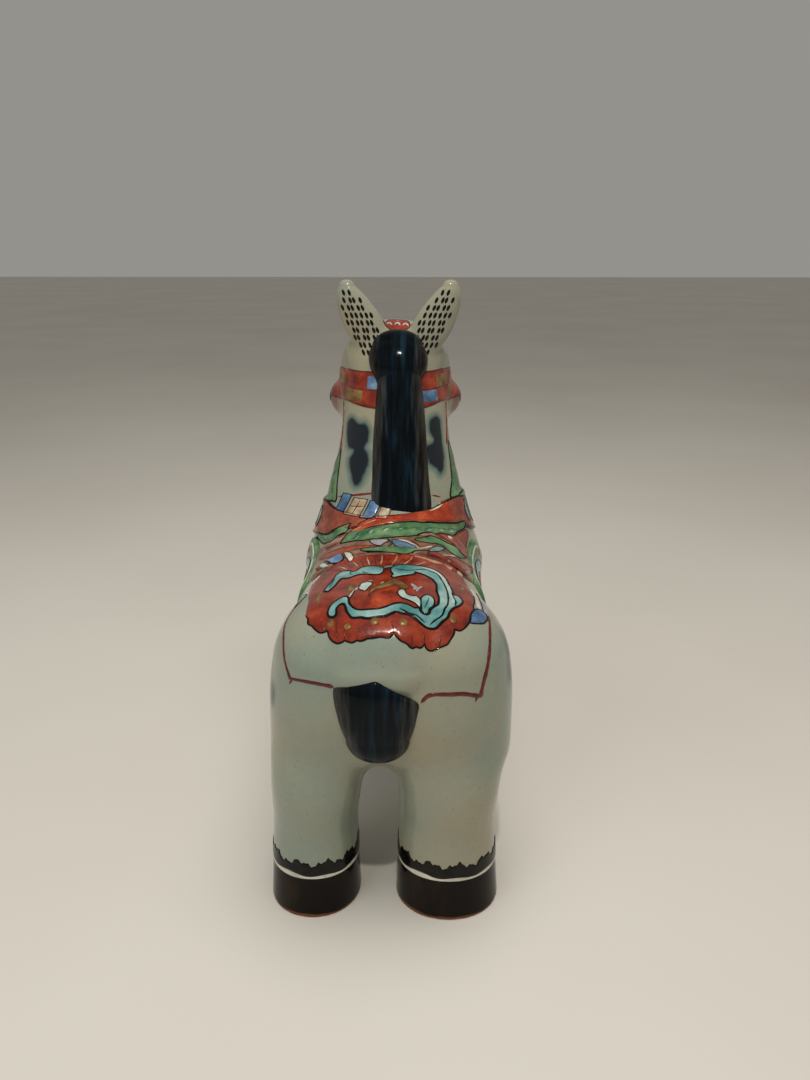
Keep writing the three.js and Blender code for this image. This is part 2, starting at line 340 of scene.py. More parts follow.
HIND_SHIFT = np.array([0.9, 0.4, 0.1, -0.9, -1.6, -1.7, -1.7])  # the hand-made legs aren't mirror images
FORE_SHIFT = -0.5
HIND_SPREAD = 0.065  # the right hind leg is this share stouter than the mean, the left slimmer
FORE_LEG = [(17, 32, 76, 13, 17), (18, 33, 62, 14.2, 16.5), (18.8, 34, 47, 13.6, 14.5),
            (19.2, 34, 31, 12.8, 12.8), (19.2, 34, 14, 13.4, 13), (19.5, 34, -8, 14.4, 14)]
EAR = [(7.4, 35, 153, 5.6, 4), (10.7, 34.6, 160, 7.7, 4.2), (13.9, 34.8, 167, 7.5, 3.8),
       (16.4, 35, 172.2, 6.1, 3.3), (17.9, 35.2, 175.6, 4.5, 2.8), (18.8, 35.4, 177.9, 2.8, 2.2)]
DOCK = [(-1.3, -52, 91, 11.5, 5), (-1.35, -62, 93.4, 12.6, 5), (-1.4, -70.6, 89.2, 13, 6),
        (-1.5, -76.2, 80.4, 12.6, 6)]
TAIL = [(-1.5, -73.5, 88, 10.5, 5), (-1.5, -77.6, 78, 12.4, 6.2), (-1.5, -79, 69, 11, 5.6),
        (-1.5, -79.2, 62.8, 9, 5)]
MANE = [(1.6, 9.5, 100.6, 12.6, 5.6), (1.7, 13.5, 112, 10.8, 6), (1.7, 18, 125, 9.8, 6.4),
        (1.6, 22.5, 138, 8.8, 6), (1.3, 26.5, 149, 7.6, 6)]
TOPKNOT = [(1, 25.5, 145, 8.2, 6), (1, 27.3, 149.6, 10.4, 7.8), (0.8, 29.4, 153.6, 10.8, 7.8),
           (0.6, 31, 156.4, 9.6, 6.8)]
EAR_SHIFT = 0.9
FACE = -1.1  # the face's middle line
HOCK = ((20.2, -68.6, 40), (9, 8.6, 11))  # the centre and radii of a swelling on the right side
JOWL = ((11, 49, 131), (9.5, 15, 15))
EYE = ((18.6, 53.2, 134.5), (7.4, 7.8, 7.8))
BROW = ((14, 52.5, 144), (7, 6.5, 4))
NOSE = ((7.2, 81, 104.5), (4.8, 4.4, 4.8))
NOSTRIL = ((9, 84.8, 105.4), (2.2, 2.8, 1.8))
MUZZLE = ((FACE, 75.5, 101), (13, 9.5, 9.5))
CHIN = ((FACE, 71.5, 94.5), (9, 8.5, 5.5))
MOUTH = ((FACE, 79.5, 96.4), (10.5, 8.2, 0.9))
FLOOR_ROUND = 0.8
HOOF_TOP = 13.8
SEAM = 0.0  # the two halves of the trunk meet here
TAIL_ROOF = ((-1.5, 82.3), (-14, 78.9), (10.5, 74.3))  # x and z of the tail's peak and its two shoulders

ADD = 1
CARVE = -1
SIDES = ((-1, "left"), (1, "right"))


def sided(place, side, middle=FACE):
    """A place given for the right side, carried to one side of a middle line."""
    return side * place[0] + middle, place[1], place[2]


def horse_forms():
    """Rows of piece, ADD or CARVE, form, blend radius. A carved form belongs to no piece."""
    scoop = [(x, y + 3.6, z, wide - 1.6, deep - 0.8) for x, y, z, wide, deep in EAR]
    rows = [
        ("trunk", ADD, Limb(TRUNK, (21, 21), 2.3), 1),
        ("neck_shell", ADD, Limb(NECK, (12, 10)), 10),
        ("head_shell", ADD, Limb(HEAD, (9, 8), 2.2), 7),
    ]
    for side, word in SIDES:
        hind = Limb(HIND_LEG, (14, 6), side=side, shift=HIND_SHIFT, scale=1 + HIND_SPREAD * side)
        rows += [
            (f"hind_{word}_leg", ADD, hind, 9),
            (f"hind_{word}_leg", ADD, Lump(sided(HOCK[0], side, -0.8), HOCK[1]), 9),
            (f"fore_{word}_leg", ADD, Limb(FORE_LEG, (12, 6), side=side, shift=FORE_SHIFT), 9),
            ("head_shell", ADD, Lump(sided(JOWL[0], side, -1), JOWL[1]), 6),
            ("head_shell", ADD, Lump(sided(EYE[0], side), EYE[1]), 2.5),
            ("head_shell", ADD, Lump(sided(BROW[0], side), BROW[1]), 3),
            (f"{word}_ear", ADD, Limb(EAR, (5, 2), 2.0, side, EAR_SHIFT), 2),
            (None, CARVE, Limb(scoop, (5, 1), 2.0, side, EAR_SHIFT), 0.8),
        ]
    rows.append(("head_shell", ADD, Lump(*MUZZLE), 4))
    for side, _ in SIDES:
        rows.append(("head_shell", ADD, Lump(sided(NOSE[0], side), NOSE[1]), 3))
        rows.append((None, CARVE, Lump(sided(NOSTRIL[0], side), NOSTRIL[1]), 1.4))
    rows += [
        ("head_shell", ADD, Lump(*CHIN), 3.5),
        (None, CARVE, Lump(*MOUTH), 1.4),
        ("tail_dock", ADD, Limb(DOCK, (5, 6), 3.0), 2.5),
    ]
    return rows


FORMS = horse_forms()
MEMBERS = sorted({row[0] for row in FORMS if row[0]})


def body_field(points):
    """The whole body in one, standing on the floor."""
    value = None
    for _, way, form, blend in FORMS:
        here = nearby(form, points)
        if value is None:
            value = here
        elif way == ADD:
            value = smooth_min(value, here, blend)
        else:
            value = smooth_max(value, -here, blend)
    return smooth_max(value, -points[:, 2], FLOOR_ROUND)


def member_scores(points):
    """How near each point is to each member, one column for each name in MEMBERS."""
    scores = np.full((len(points), len(MEMBERS)), FAR)
    for member, way, form, _ in FORMS:
        if way == ADD:
            column = MEMBERS.index(member)
            scores[:, column] = np.minimum(scores[:, column], nearby(form, points))
    return scores


def tail_field(points):
    """The tail, cut to a low roof that leans to the right."""
    value = Limb(TAIL, (4, 7.4), 2.2)(points)
    (peak_x, peak_z), left, right = TAIL_ROOF
    for x, z in (left, right):
        run, rise = np.array((x - peak_x, z - peak_z)) / math.hypot(x - peak_x, z - peak_z)
        up = (points[:, 2] - peak_z) * abs(run) - (points[:, 0] - peak_x) * rise * np.sign(run)
        value = smooth_max(value, up, 0.8)
    return value


# ---------------------------------------------------------------- parting the body

SNAP = 0.1  # a vertex this near a cut isn't cut off
FINE_SNAP = 0.02
PLACE = slice(0, 3)
NORMAL = slice(3, 6)
SCORES = slice(6, 6 + len(MEMBERS))


def parted(data, triangles, level, snap=SNAP):
    """Cuts each triangle that level's zero line crosses. data has one row for each vertex."""
    level = np.where(np.abs(level) < snap, snap, level)
    above = level[triangles] > 0
    count = above.sum(1)
    mixed = (count == 1) | (count == 2)
    lone = np.where(count == 1, above.argmax(1), (~above).argmax(1))[mixed]
    rows = np.arange(mixed.sum())
    a, b, c = (triangles[mixed][rows, (lone + step) % 3] for step in range(3))
    ends = np.sort(np.vstack([np.stack([a, b], 1), np.stack([a, c], 1)]), 1)
    ends, inverse = np.unique(ends, axis=0, return_inverse=True)
    near, far = level[ends[:, 0]], level[ends[:, 1]]
    share = (near / (near - far))[:, None]
    fresh = data[ends[:, 0]] * (1 - share) + data[ends[:, 1]] * share
    ids = len(data) + inverse.reshape(-1)
    ab, ac = ids[: len(rows)], ids[len(rows) :]
    corners = [np.stack(three, 1) for three in ((a, ab, ac), (ab, b, c), (ab, c, ac))]
    return np.vstack([data, fresh]), np.vstack([triangles[~mixed], *corners])


def part_body(data, triangles):
    """Cuts along every joint between members, and returns a piece name for each triangle."""
    data, triangles = parted(data, triangles, data[:, 2] - HOOF_TOP, FINE_SNAP)
    for column in range(len(MEMBERS)):
        scores = data[:, SCORES]
        others = np.delete(scores, column, 1).min(1)
        data, triangles = parted(data, triangles, scores[:, column] - others)
    data, triangles = parted(data, triangles, data[:, 0] - SEAM)
    middle = data[triangles].mean(1)
    names = np.array(MEMBERS, dtype=object)[middle[:, SCORES].argmin(1)]
    trunk = names == "trunk"
    names[trunk & (middle[:, 0] < SEAM)] = "trunk_left_shell"
    names[trunk & (middle[:, 0] >= SEAM)] = "trunk_right_shell"
    low = middle[:, 2] < HOOF_TOP
    names[low] = [name.replace("_leg", "_hoof") for name in names[low]]
    return data, triangles, names


# ---------------------------------------------------------------- meshes

LIP_DEPTH = 0.1
LIP_REACH = 0.3
CAP_DEPTH = 3.0
SLIVER = 1e-12  # the least squared area to divide by
NUDGES = ((0, 0, 0), (0.003, 0.005, 0.004), (-0.006, -0.004, -0.007))


def capped(points, triangles, normals):
    """Closes each open rim with a lip that laps under its neighbour, and a fan to a point inside."""
    ways = np.vstack([triangles[:, [0, 1]], triangles[:, [1, 2]], triangles[:, [2, 0]]])
    known = {tuple(way) for way in ways.tolist()}
    onward = {}
    for a, b in known:
        if (b, a) not in known:
            onward.setdefault(b, []).append(a)
    extra, facing, faces = [], [], []
    count = len(points)
    while onward:
        rim = [next(iter(onward))]
        while rim[-1] in onward and (len(rim) == 1 or rim[-1] != rim[0]):
            ends = onward[rim[-1]]
            rim.append(ends.pop())
            if not ends:
                del onward[rim[-2]]
        rim = rim[:-1]
        if len(rim) < 3:
            continue
        along = points[np.roll(rim, -1)] - points[np.roll(rim, 1)]
        out = np.cross(normals[rim], along)
        out /= np.maximum(np.linalg.norm(out, axis=1, keepdims=True), TINY)
        sunk = points[rim] - normals[rim] * LIP_DEPTH + out * LIP_REACH
        extra += [sunk, (sunk - normals[rim] * CAP_DEPTH).mean(0)[None]]
        facing += [normals[rim], normals[rim[:1]]]
        inner = list(range(count, count + len(rim)))
        count += len(rim) + 1
        for step, a in enumerate(rim):
            after = (step + 1) % len(rim)
            sunk_a, sunk_b = inner[step], inner[after]
            faces += [(a, rim[after], sunk_b), (a, sunk_b, sunk_a), (sunk_a, sunk_b, count - 1)]
    if faces:
        return np.vstack([points, *extra]), np.vstack([triangles, faces]), np.vstack([normals, *facing])
    return points, triangles, normals


def make_object(name, points, faces, material, normals=None, paint=None):
    """A smooth mesh object in metres. paint holds per-vertex numbers for its material."""
    mesh = bpy.data.meshes.new(name)
    mesh.from_pydata((np.asarray(points) * METRE).tolist(), [], np.asarray(faces).tolist())
    for key, values in (paint or {}).items():
        layer = mesh.attributes.new(key, "FLOAT", "POINT")
        layer.data.foreach_set("value", np.asarray(values, np.float32))
    mesh.polygons.foreach_set("use_smooth", [True] * len(mesh.polygons))
    if normals is not None:
        mesh.normals_split_custom_set_from_vertices(np.asarray(normals).tolist())
    mesh.materials.append(material)
    thing = bpy.data.objects.new(name, mesh)
    bpy.context.collection.objects.link(thing)
    return thing


def place_piece(name, thing, slot, *nodes):
    """Puts a piece on the frame's only body, in place of the CAD nodes it stands for."""
    thing.name = name
    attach(thing, "root")
    if nodes:
        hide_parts(*nodes)


class Skin:
    """The body's surface, found by rays that start inside it."""

    def __init__(self, points, normals, triangles):
        self.points, self.normals, self.triangles = points, normals, triangles
        self.tree = BVHTree.FromPolygons(points.tolist(), triangles.tolist(), all_triangles=True)

    def meet(self, starts, headings):
        """Where each ray leaves the body, and the smooth normal there."""
        places, faces = [], []
        for start, heading in zip(starts.tolist(), headings.tolist()):
            place, face = None, None
            for nudge in NUDGES:  # a ray that meets an edge exactly can slip between its two faces
                if place is None:
                    place, _, face, _ = self.tree.ray_cast(Vector(start) + Vector(nudge), Vector(heading))
            if place is None:
                raise ValueError(f"a chart ray from {start} towards {heading} misses the body")
            places.append(place)
            faces.append(face)
        places = np.array(places)
        corner = self.triangles[faces]
        a, b, c = (self.points[corner[:, i]] for i in range(3))
        across = np.cross(b - a, c - a)
        area = np.maximum((across**2).sum(1), SLIVER)
        second = (np.cross(places - a, c - a) * across).sum(1) / area
        third = (np.cross(b - a, places - a) * across).sum(1) / area
        share = np.stack([1 - second - third, second, third], 1)[:, :, None]
        normals = (self.normals[corner] * share).sum(1)
        return places, normals / np.linalg.norm(normals, axis=1, keepdims=True)


# ---------------------------------------------------------------- materials

COAT_ROUGHNESS = 0.04
DARK_SHEEN = 0.14  # the specular level of the dark glazes
MOTTLE = (0.34, 0.5, 0.66)  # where an enamel is thin, even and thick
RED_SLOT = "iron_red_enamel"
GREEN_SLOT = "green_enamel"
TURQUOISE_SLOT = "turquoise_enamel"
CELADON_SLOT = "celadon_glaze"
COBALT_SLOT = "cobalt_glaze"
HOOF_SLOT = "hoof_glaze"


def tone(red, green, blue):
    """A linear colour from one given in 0 to 255 as it looks on a screen."""
    parts = [value / 255 for value in (red, green, blue)]
    return [p / 12.92 if p <= 0.04045 else ((p + 0.055) / 1.055) ** 2.4 for p in parts] + [1.0]


class Shader:
    """A material under construction: its nodes, its links and its main shader."""

    def __init__(self, name, roughness, coat=0.0):
        self.material = bpy.data.materials.new(name)
        self.material.use_nodes = True
        self.nodes = self.material.node_tree.nodes
        self.links = self.material.node_tree.links
        self.main = self.nodes["Principled BSDF"]
        self.main.inputs["Roughness"].default_value = roughness
        self.main.inputs["Coat Weight"].default_value = coat
        self.main.inputs["Coat Roughness"].default_value = COAT_ROUGHNESS
        self.place = self.nodes.new("ShaderNodeTexCoord").outputs["Object"]

    def join(self, source, target):
        """One link between two sockets."""
        self.links.new(source, target)

    def stretched(self, scale):
        """Object coordinates scaled differently along each axis."""
        mapping = self.nodes.new("ShaderNodeMapping")
        mapping.inputs["Scale"].default_value = scale
        self.join(self.place, mapping.inputs["Vector"])
        return mapping.outputs["Vector"]

    def noise(self, scale, detail=3.0, rough=0.5, place=None):
        """A noise value. scale is in features for each metre."""
        node = self.nodes.new("ShaderNodeTexNoise")
        node.inputs["Scale"].default_value = scale
        node.inputs["Detail"].default_value = detail
        node.inputs["Roughness"].default_value = rough
        self.join(place or self.place, node.inputs["Vector"])
        return node.outputs["Fac"]

    def ramp(self, factor, stops):
        """A colour for each factor, from rows of position and colour."""
        node = self.nodes.new("ShaderNodeValToRGB")
        marks = node.color_ramp.elements
        while len(marks) < len(stops):
            marks.new(0.5)
        for mark, (position, colour) in zip(marks, stops):
            mark.position = position
            mark.color = colour
        self.join(factor, node.inputs["Fac"])
        return node.outputs["Color"]

    def feed(self, socket, value):
        """Gives a socket a value, or joins an output to it."""
        if isinstance(value, bpy.types.NodeSocket):
            self.join(value, socket)
        else:
            socket.default_value = value

    def mix(self, factor, first, second):
        """Two colours, or colour outputs, mixed by a factor or a factor output."""
        node = self.nodes.new("ShaderNodeMix")
        node.data_type = "RGBA"
        for key, value in ((0, factor), (6, first), (7, second)):
            self.feed(node.inputs[key], value)
        return node.outputs[2]

    def sum(self, first, second, way="ADD"):
        """Two numbers, or number outputs, added, or joined in another way."""
        node = self.nodes.new("ShaderNodeMath")
        node.operation = way
        for socket, value in zip(node.inputs, (first, second)):
            self.feed(socket, value)
        return node.outputs[0]

    def span(self, value, low, high, to_low=0.0, to_high=1.0):
        """value carried from low..high to another range, and held at its ends."""
        node = self.nodes.new("ShaderNodeMapRange")
        self.join(value, node.inputs["Value"])
        limits = {"From Min": low, "From Max": high, "To Min": to_low, "To Max": to_high}
        for key, number in limits.items():
            node.inputs[key].default_value = number
        return node.outputs[0]

    def attribute(self, name):
        """A number that the mesh carries at each vertex."""
        node = self.nodes.new("ShaderNodeAttribute")
        node.attribute_name = name
        return node.outputs["Fac"]

    def bump(self, height, strength, distance):
        """Small hills in the surface, distance millimetres high."""
        node = self.nodes.new("ShaderNodeBump")
        node.inputs["Strength"].default_value = strength
        node.inputs["Distance"].default_value = distance * METRE
        self.join(height, node.inputs["Height"])
        self.join(node.outputs["Normal"], self.main.inputs["Normal"])

    def finish(self, colour, gloss=None):
        """Joins the colour, and a roughness if it varies."""
        self.join(colour, self.main.inputs["Base Color"])
        if gloss is not None:
            self.join(gloss, self.main.inputs["Roughness"])
        return self.material


GLAZE = tone(142, 144, 126)
GLAZE_WARM = tone(152, 144, 118)
GLAZE_COOL = tone(130, 141, 128)
HALO = tone(70, 98, 92)
NAVY = tone(14, 22, 30)
BROWN_BLACK = tone(20, 12, 7)


def celadon():
    """The pale glaze, with soft navy clouds where the cloud attribute is high."""
    shader = Shader("celadon", 0.2, 0.15)
    drift = shader.noise(26, 2)
    base = shader.ramp(drift, [(0.32, GLAZE_COOL), (0.5, GLAZE), (0.68, GLAZE_WARM)])
    fine = shader.noise(420, 4, 0.65)
    base = shader.mix(shader.span(fine, 0.35, 0.7, 0, 0.14), base, tone(112, 112, 92))
    specks = shader.noise(1500, 1)
    base = shader.mix(shader.span(specks, 0.72, 0.76, 0, 0.5), base, tone(70, 62, 48))
    wander = shader.sum(shader.noise(150, 4, 0.6), 0.45, "SUBTRACT")
    cloud = shader.sum(shader.attribute("cloud"), shader.sum(wander, 2.5, "MULTIPLY"))
    base = shader.mix(shader.span(cloud, -2.4, -0.3, 0, 0.85), base, HALO)
    base = shader.mix(shader.span(cloud, -0.4, 0.5), base, NAVY)
    lid = shader.sum(shader.attribute("lid"), shader.sum(wander, 0.7, "MULTIPLY"))
    base = shader.mix(shader.span(lid, 0.2, 0.9, 0, 0.7), base, tone(112, 62, 44))
    shader.bump(shader.noise(90, 2), 0.25, 0.4)
    return shader.finish(base, shader.span(fine, 0.3, 0.7, 0.11, 0.22))


def cobalt():
    """Near-black cobalt glaze that runs thin and brown along its edges, with blue-green streaks."""
    shader = Shader("cobalt", 0.14, 0.0)
    shader.main.inputs["Specular IOR Level"].default_value = DARK_SHEEN
    streak = shader.noise(1, 3, 0.6, shader.stretched((520, 60, 45)))
    base = shader.ramp(streak, [(0.36, tone(2, 5, 8)), (0.52, tone(5, 14, 21)), (0.72, tone(14, 38, 50))])
    uneven = shader.sum(shader.sum(streak, 0.5, "SUBTRACT"), 0.8, "MULTIPLY")
    thin = shader.sum(shader.attribute("edge"), uneven)
    brown = shader.mix(shader.span(streak, 0.35, 0.65), tone(38, 28, 20), tone(64, 66, 62))
    base = shader.mix(shader.span(thin, 0.52, 0.92, 0, 0.9), base, brown)
    shader.bump(streak, 0.3, 0.25)
    return shader.finish(base)


def hoof():
    """Brown-black glaze that stops short of a bare orange-brown foot."""
    shader = Shader("hoof", 0.2, 0.0)
    shader.main.inputs["Specular IOR Level"].default_value = DARK_SHEEN
    flow = shader.noise(1, 3, 0.6, shader.stretched((90, 90, 30)))
    base = shader.ramp(flow, [(0.35, tone(9, 6, 4)), (0.55, BROWN_BLACK), (0.75, tone(44, 27, 14))])
    height = shader.nodes.new("ShaderNodeSeparateXYZ")
    shader.join(shader.place, height.inputs[0])
    wave = shader.sum(shader.sum(shader.noise(70), 0.5, "SUBTRACT"), 2.4 * METRE, "MULTIPLY")
    level = shader.sum(height.outputs["Z"], wave)
    bare = shader.span(level, 0.7 * METRE, 1.3 * METRE, 1, 0)
    base = shader.mix(bare, base, tone(122, 74, 38))
    shader.bump(flow, 0.2, 0.4)
    return shader.finish(base, shader.span(bare, 0, 1, 0.12, 0.6))


def enamel(name, thin, body, thick, scale=170, gloss=0.16, metal=0.0, sheen=0.5):
    """An overglaze enamel, paler where the brush left it thin and darker where it pooled."""
    shader = Shader(name, gloss, 0.1)
    pool = shader.noise(scale, 4, 0.62)
    base = shader.ramp(pool, list(zip(MOTTLE, (thin, body, thick))))
    grain = shader.noise(1900, 2)
    base = shader.mix(shader.span(grain, 0.4, 0.7, 0, 0.2), base, thick)
    shader.main.inputs["Metallic"].default_value = metal
    shader.main.inputs["Specular IOR Level"].default_value = sheen
    shader.bump(pool, 0.35, 0.12)
    return shader.finish(base, shader.span(grain, 0.3, 0.7, gloss - 0.05, gloss + 0.14))


def pale_floor():
    """Matt paper, hardly mottled."""
    shader = Shader("floor", 0.7)
    stops = [(0.35, tone(206, 201, 192)), (0.65, tone(212, 208, 199))]
    return shader.finish(shader.ramp(shader.noise(4), stops))


CELADON = celadon()
COBALT = cobalt()
HOOF = hoof()
PALETTE = {  # slot, the colours where it is thin, even and thick, and what else sets it apart
    "red": (RED_SLOT, (152, 62, 32), (128, 38, 15), (84, 21, 10), {}),
    "brick": (RED_SLOT, (156, 82, 58), (132, 60, 40), (106, 42, 28), {"scale": 240}),
    "orange": (RED_SLOT, (176, 78, 38), (150, 49, 18), (112, 28, 11), {}),
    "dun": (RED_SLOT, (150, 122, 100), (124, 90, 72), (92, 56, 44), {"scale": 220}),
    "maroon": (RED_SLOT, (106, 34, 22), (86, 21, 15), (66, 15, 12), {"scale": 400}),
    "gold": (RED_SLOT, (162, 128, 78), (132, 98, 52), (92, 64, 34),
             {"scale": 300, "gloss": 0.3, "metal": 0.3}),
    "green": (GREEN_SLOT, (112, 142, 100), (76, 116, 74), (44, 84, 58), {}),
    "turquoise": (TURQUOISE_SLOT, (152, 178, 170), (106, 150, 146), (58, 116, 116), {"scale": 110}),
    "pale": (TURQUOISE_SLOT, (196, 206, 196), (172, 188, 180), (138, 162, 156), {}),
    "white": (CELADON_SLOT, (214, 210, 198), (196, 192, 178), (164, 158, 140), {}),
    "cream": (CELADON_SLOT, (190, 178, 152), (166, 148, 120), (132, 104, 80), {"scale": 260}),
    "blue": (COBALT_SLOT, (130, 158, 180), (82, 116, 150), (44, 74, 108), {"scale": 150}),
    "lilac": (COBALT_SLOT, (176, 172, 170), (150, 146, 150), (112, 108, 124), {}),
    "teal": (TURQUOISE_SLOT, (40, 84, 84), (20, 58, 60), (10, 34, 38), {"scale": 260}),
    "ink": (HOOF_SLOT, (26, 20, 16), (14, 11, 10), (6, 5, 6), {"scale": 300, "sheen": 0.16}),
}
ENAMELS = {name: (enamel(name, *(tone(*colour) for colour in colours), **rest), slot)
           for name, (slot, *colours, rest) in PALETTE.items()}


# ---------------------------------------------------------------- charts
# A chart turns flat drawing coordinates (u, v) in millimetres into rays that start inside the body.

RUMP_CENTRE = np.array((0.8, -50, 66))
RUMP_RADIUS = 33.0
BACK_AXIS_Z = 70.0
BACK_RADIUS = 30.0
NAPE_RADIUS = 20.0
NAPE_X = -0.5
NAPE_FOOT = (27.0, 95.0)  # y and z of a point on the neck's axis
NAPE_LEAN = 0.236  # how far the axis moves forward for each millimetre up
COLLAR_CENTRE = np.array((-0.5, 20, 84))
COLLAR_UP = np.array((0, NAPE_LEAN, 1)) / math.hypot(NAPE_LEAN, 1)
COLLAR_RIGHT = np.array((1, 0, 0))
COLLAR_BACK = -np.cross(COLLAR_UP, COLLAR_RIGHT)
LEG_RADIUS = 14.0
EAR_CORE = 0.4  # a ray for an ear starts this far behind its spine


def rump_chart(uv):
    """u to the right and v down the rump, both along arcs about a point in the haunches."""
    a, b = (uv / RUMP_RADIUS).T
    headings = np.stack([np.sin(a), -np.cos(a) * np.sin(b), np.cos(a) * np.cos(b)], 1)
    return np.tile(RUMP_CENTRE, (len(uv), 1)), headings


def back_chart(uv):
    """u is an arc to the right about a line along the trunk, and v is y."""
    a = uv[:, 0] / BACK_RADIUS
    starts = np.stack([0 * a, uv[:, 1], 0 * a + BACK_AXIS_Z], 1)
    return starts, np.stack([np.sin(a), 0 * a, np.cos(a)], 1)


def nape_chart(uv):
    """u is an arc to the right about the neck's axis, from the mane, and v is z."""
    a = uv[:, 0] / NAPE_RADIUS
    axis_y = NAPE_FOOT[0] + (uv[:, 1] - NAPE_FOOT[1]) * NAPE_LEAN
    starts = np.stack([0 * a + NAPE_X, axis_y, uv[:, 1]], 1)
    return starts, np.stack([np.sin(a), -np.cos(a), 0 * a], 1)


def collar_chart(uv):
    """u is degrees to the right round the neck's axis and v is degrees up, from a point in its foot."""
    a, b = np.radians(uv).T
    level = np.cos(a)[:, None] * COLLAR_BACK + np.sin(a)[:, None] * COLLAR_RIGHT
    headings = np.cos(b)[:, None] * level + np.sin(b)[:, None] * COLLAR_UP
    return np.tile(COLLAR_CENTRE, (len(uv), 1)), headings


def leg_chart(x, y):
    """A chart round one lower leg: u is an arc to the right from behind, and v is z."""

    def chart(uv):
        a = uv[:, 0] / LEG_RADIUS
        starts = np.stack([0 * a + x, 0 * a + y, uv[:, 1]], 1)
        return starts, np.stack([np.sin(a), -np.cos(a), 0 * a], 1)

    return chart


def lump_chart(centre, towards, radius):
    """u to the right and v up, along arcs about a point, from the heading towards."""
    centre = np.array(centre, float)
    ahead = np.array(towards, float) / np.linalg.norm(towards)
    right = np.cross(ahead, (0, 0, 1))
    right /= np.linalg.norm(right)
    up = np.cross(right, ahead)

    def chart(uv):
        a, b = (uv / radius).T
        level = np.cos(a)[:, None] * ahead + np.sin(a)[:, None] * right
        headings = np.cos(b)[:, None] * level + np.sin(b)[:, None] * up
        return np.tile(centre, (len(uv), 1)), headings

    return chart


def ear_chart(uv):
    """The backs of both ears: u is x and v is z."""
    axis = np.array(EAR)[:, :3]
    y = np.interp(uv[:, 1], axis[:, 2], axis[:, 1])
    starts = np.stack([uv[:, 0], y - EAR_CORE, uv[:, 1]], 1)
    return starts, np.tile((0.0, -1.0, 0.0), (len(uv), 1))


# ---------------------------------------------------------------- flat outlines


def curve(points, closed, spacing=0.5):
    """A Catmull-Rom curve through points. A point given twice is a sharp corner."""
    rows = np.array(points, float)
    if closed:
        padded = np.vstack([rows[-1:], rows, rows[:2]])
    else:
        padded = np.vstack([2 * rows[0] - rows[1], rows, 2 * rows[-1] - rows[-2]])
    out = []
    for a, b, c, d in zip(padded, padded[1:], padded[2:], padded[3:]):
        length = np.linalg.norm(c - b)
        if length < SMALL:
            continue
        t = np.arange(max(1, math.ceil(length / spacing)))[:, None]
        out.append(span_of(a, b, c, d, t / len(t)))
    if not closed:
        out.append(rows[-1:])
    return np.vstack(out)


def depth_in(points, loop):
    """How deep each point is inside a closed loop, negative outside."""
    start, end = loop, np.roll(loop, -1, 0)
    run = end - start
    away = points[:, None] - start
    share = np.clip((away * run).sum(2) / np.maximum((run**2).sum(1), TINY), 0, 1)
    distance = np.linalg.norm(away - share[..., None] * run, axis=2).min(1)
    y = points[:, None, 1]
    spans = (start[:, 1] > y) != (end[:, 1] > y)
    rise = np.where(np.abs(run[:, 1]) < TINY, TINY, run[:, 1])
    cross_x = start[:, 0] + (y - start[:, 1]) / rise * run[:, 0]
    inside = (spans & (points[:, None, 0] < cross_x)).sum(1) % 2 == 1
    return np.where(inside, distance, -distance)


def across_of(line, closed):
    """Unit vectors across a line of points."""
    if closed:
        step = np.roll(line, -1, 0) - np.roll(line, 1, 0)
    else:
        step = np.gradient(line, axis=0)
    step /= np.maximum(np.linalg.norm(step, axis=1, keepdims=True), TINY)
    return np.stack([-step[:, 1], step[:, 0]], 1)


# ---------------------------------------------------------------- enamel

SINK = 0.25  # how far the underside of an enamel shape goes into what is under it
DIP = 0.04  # how far its edge does
TURN = 360  # degrees
GRID = 1.15
GRID_ROW = 0.866  # rows of even triangles are this share of their sides apart
GRID_GAP = 0.35  # how many sides of a triangle the grid stays away from the rounded edge
SOFTENING = 90  # the collar's corners are softened in steps of a ninetieth of a turn
EDGE_DEPTH = 1e-3  # a point nearer the outline than this is on it
WAVES = ((0.1, 0.9), (0.06, 2.3))  # how much and how closely a brush line swells and thins
OVAL_POINTS = 14
TIP = 0.04  # the square of the least share of its width that a line's end has
BRUSH = [(-1, -DIP), (-0.6, 0.75), (0, 1), (0.6, 0.75), (1, -DIP)]  # a brush line's section
SLAB = [(-1, -DIP), (-0.96, 0.5), (-0.88, 0.85), (-0.74, 1), (-0.5, 1), (-0.25, 1), (0, 1),
        (0.25, 1), (0.5, 1), (0.74, 1), (0.88, 0.85), (0.96, 0.5), (1, -DIP)]  # a flat strap's section


class Sheet:
    """Enamel shapes of one colour in one region, which make one piece."""

    def __init__(self, name, material, slot):
        self.name, self.material, self.slot = name, material, slot
        self.points, self.faces = [], []
        self.count = 0

    def add(self, points, faces):
        self.points.append(points)
        self.faces.append(np.asarray(faces) + self.count)
        self.count += len(points)

    def finish(self, *nodes):
        thing = make_object(self.name, np.vstack(self.points), np.vstack(self.faces), self.material)
        place_piece(self.name, thing, self.slot, *nodes)


def on_back(places):
    """The back chart's coordinates of places on the body."""
    around = np.arctan2(places[:, 0], places[:, 2] - BACK_AXIS_Z)
    return np.stack([BACK_RADIUS * around, places[:, 1]], 1)


def on_collar(places):
    """The collar chart's coordinates of places on the body."""
    away = places - COLLAR_CENTRE
    around = np.arctan2(away @ COLLAR_RIGHT, away @ COLLAR_BACK)
    rise = np.arcsin((away @ COLLAR_UP) / np.linalg.norm(away, axis=1))
    return np.degrees(np.stack([around, rise], 1))


def edge_at(u, edge):
    """An edge's v at each u in degrees, for an edge that runs right round, with its corners softened."""
    table = np.array(edge, float)
    near = []
    for step in range(-2, 3):
        moved = u + step * TURN / SOFTENING
        near.append(np.interp(moved, table[:, 0], table[:, 1], period=TURN))
    return np.mean(near, 0)


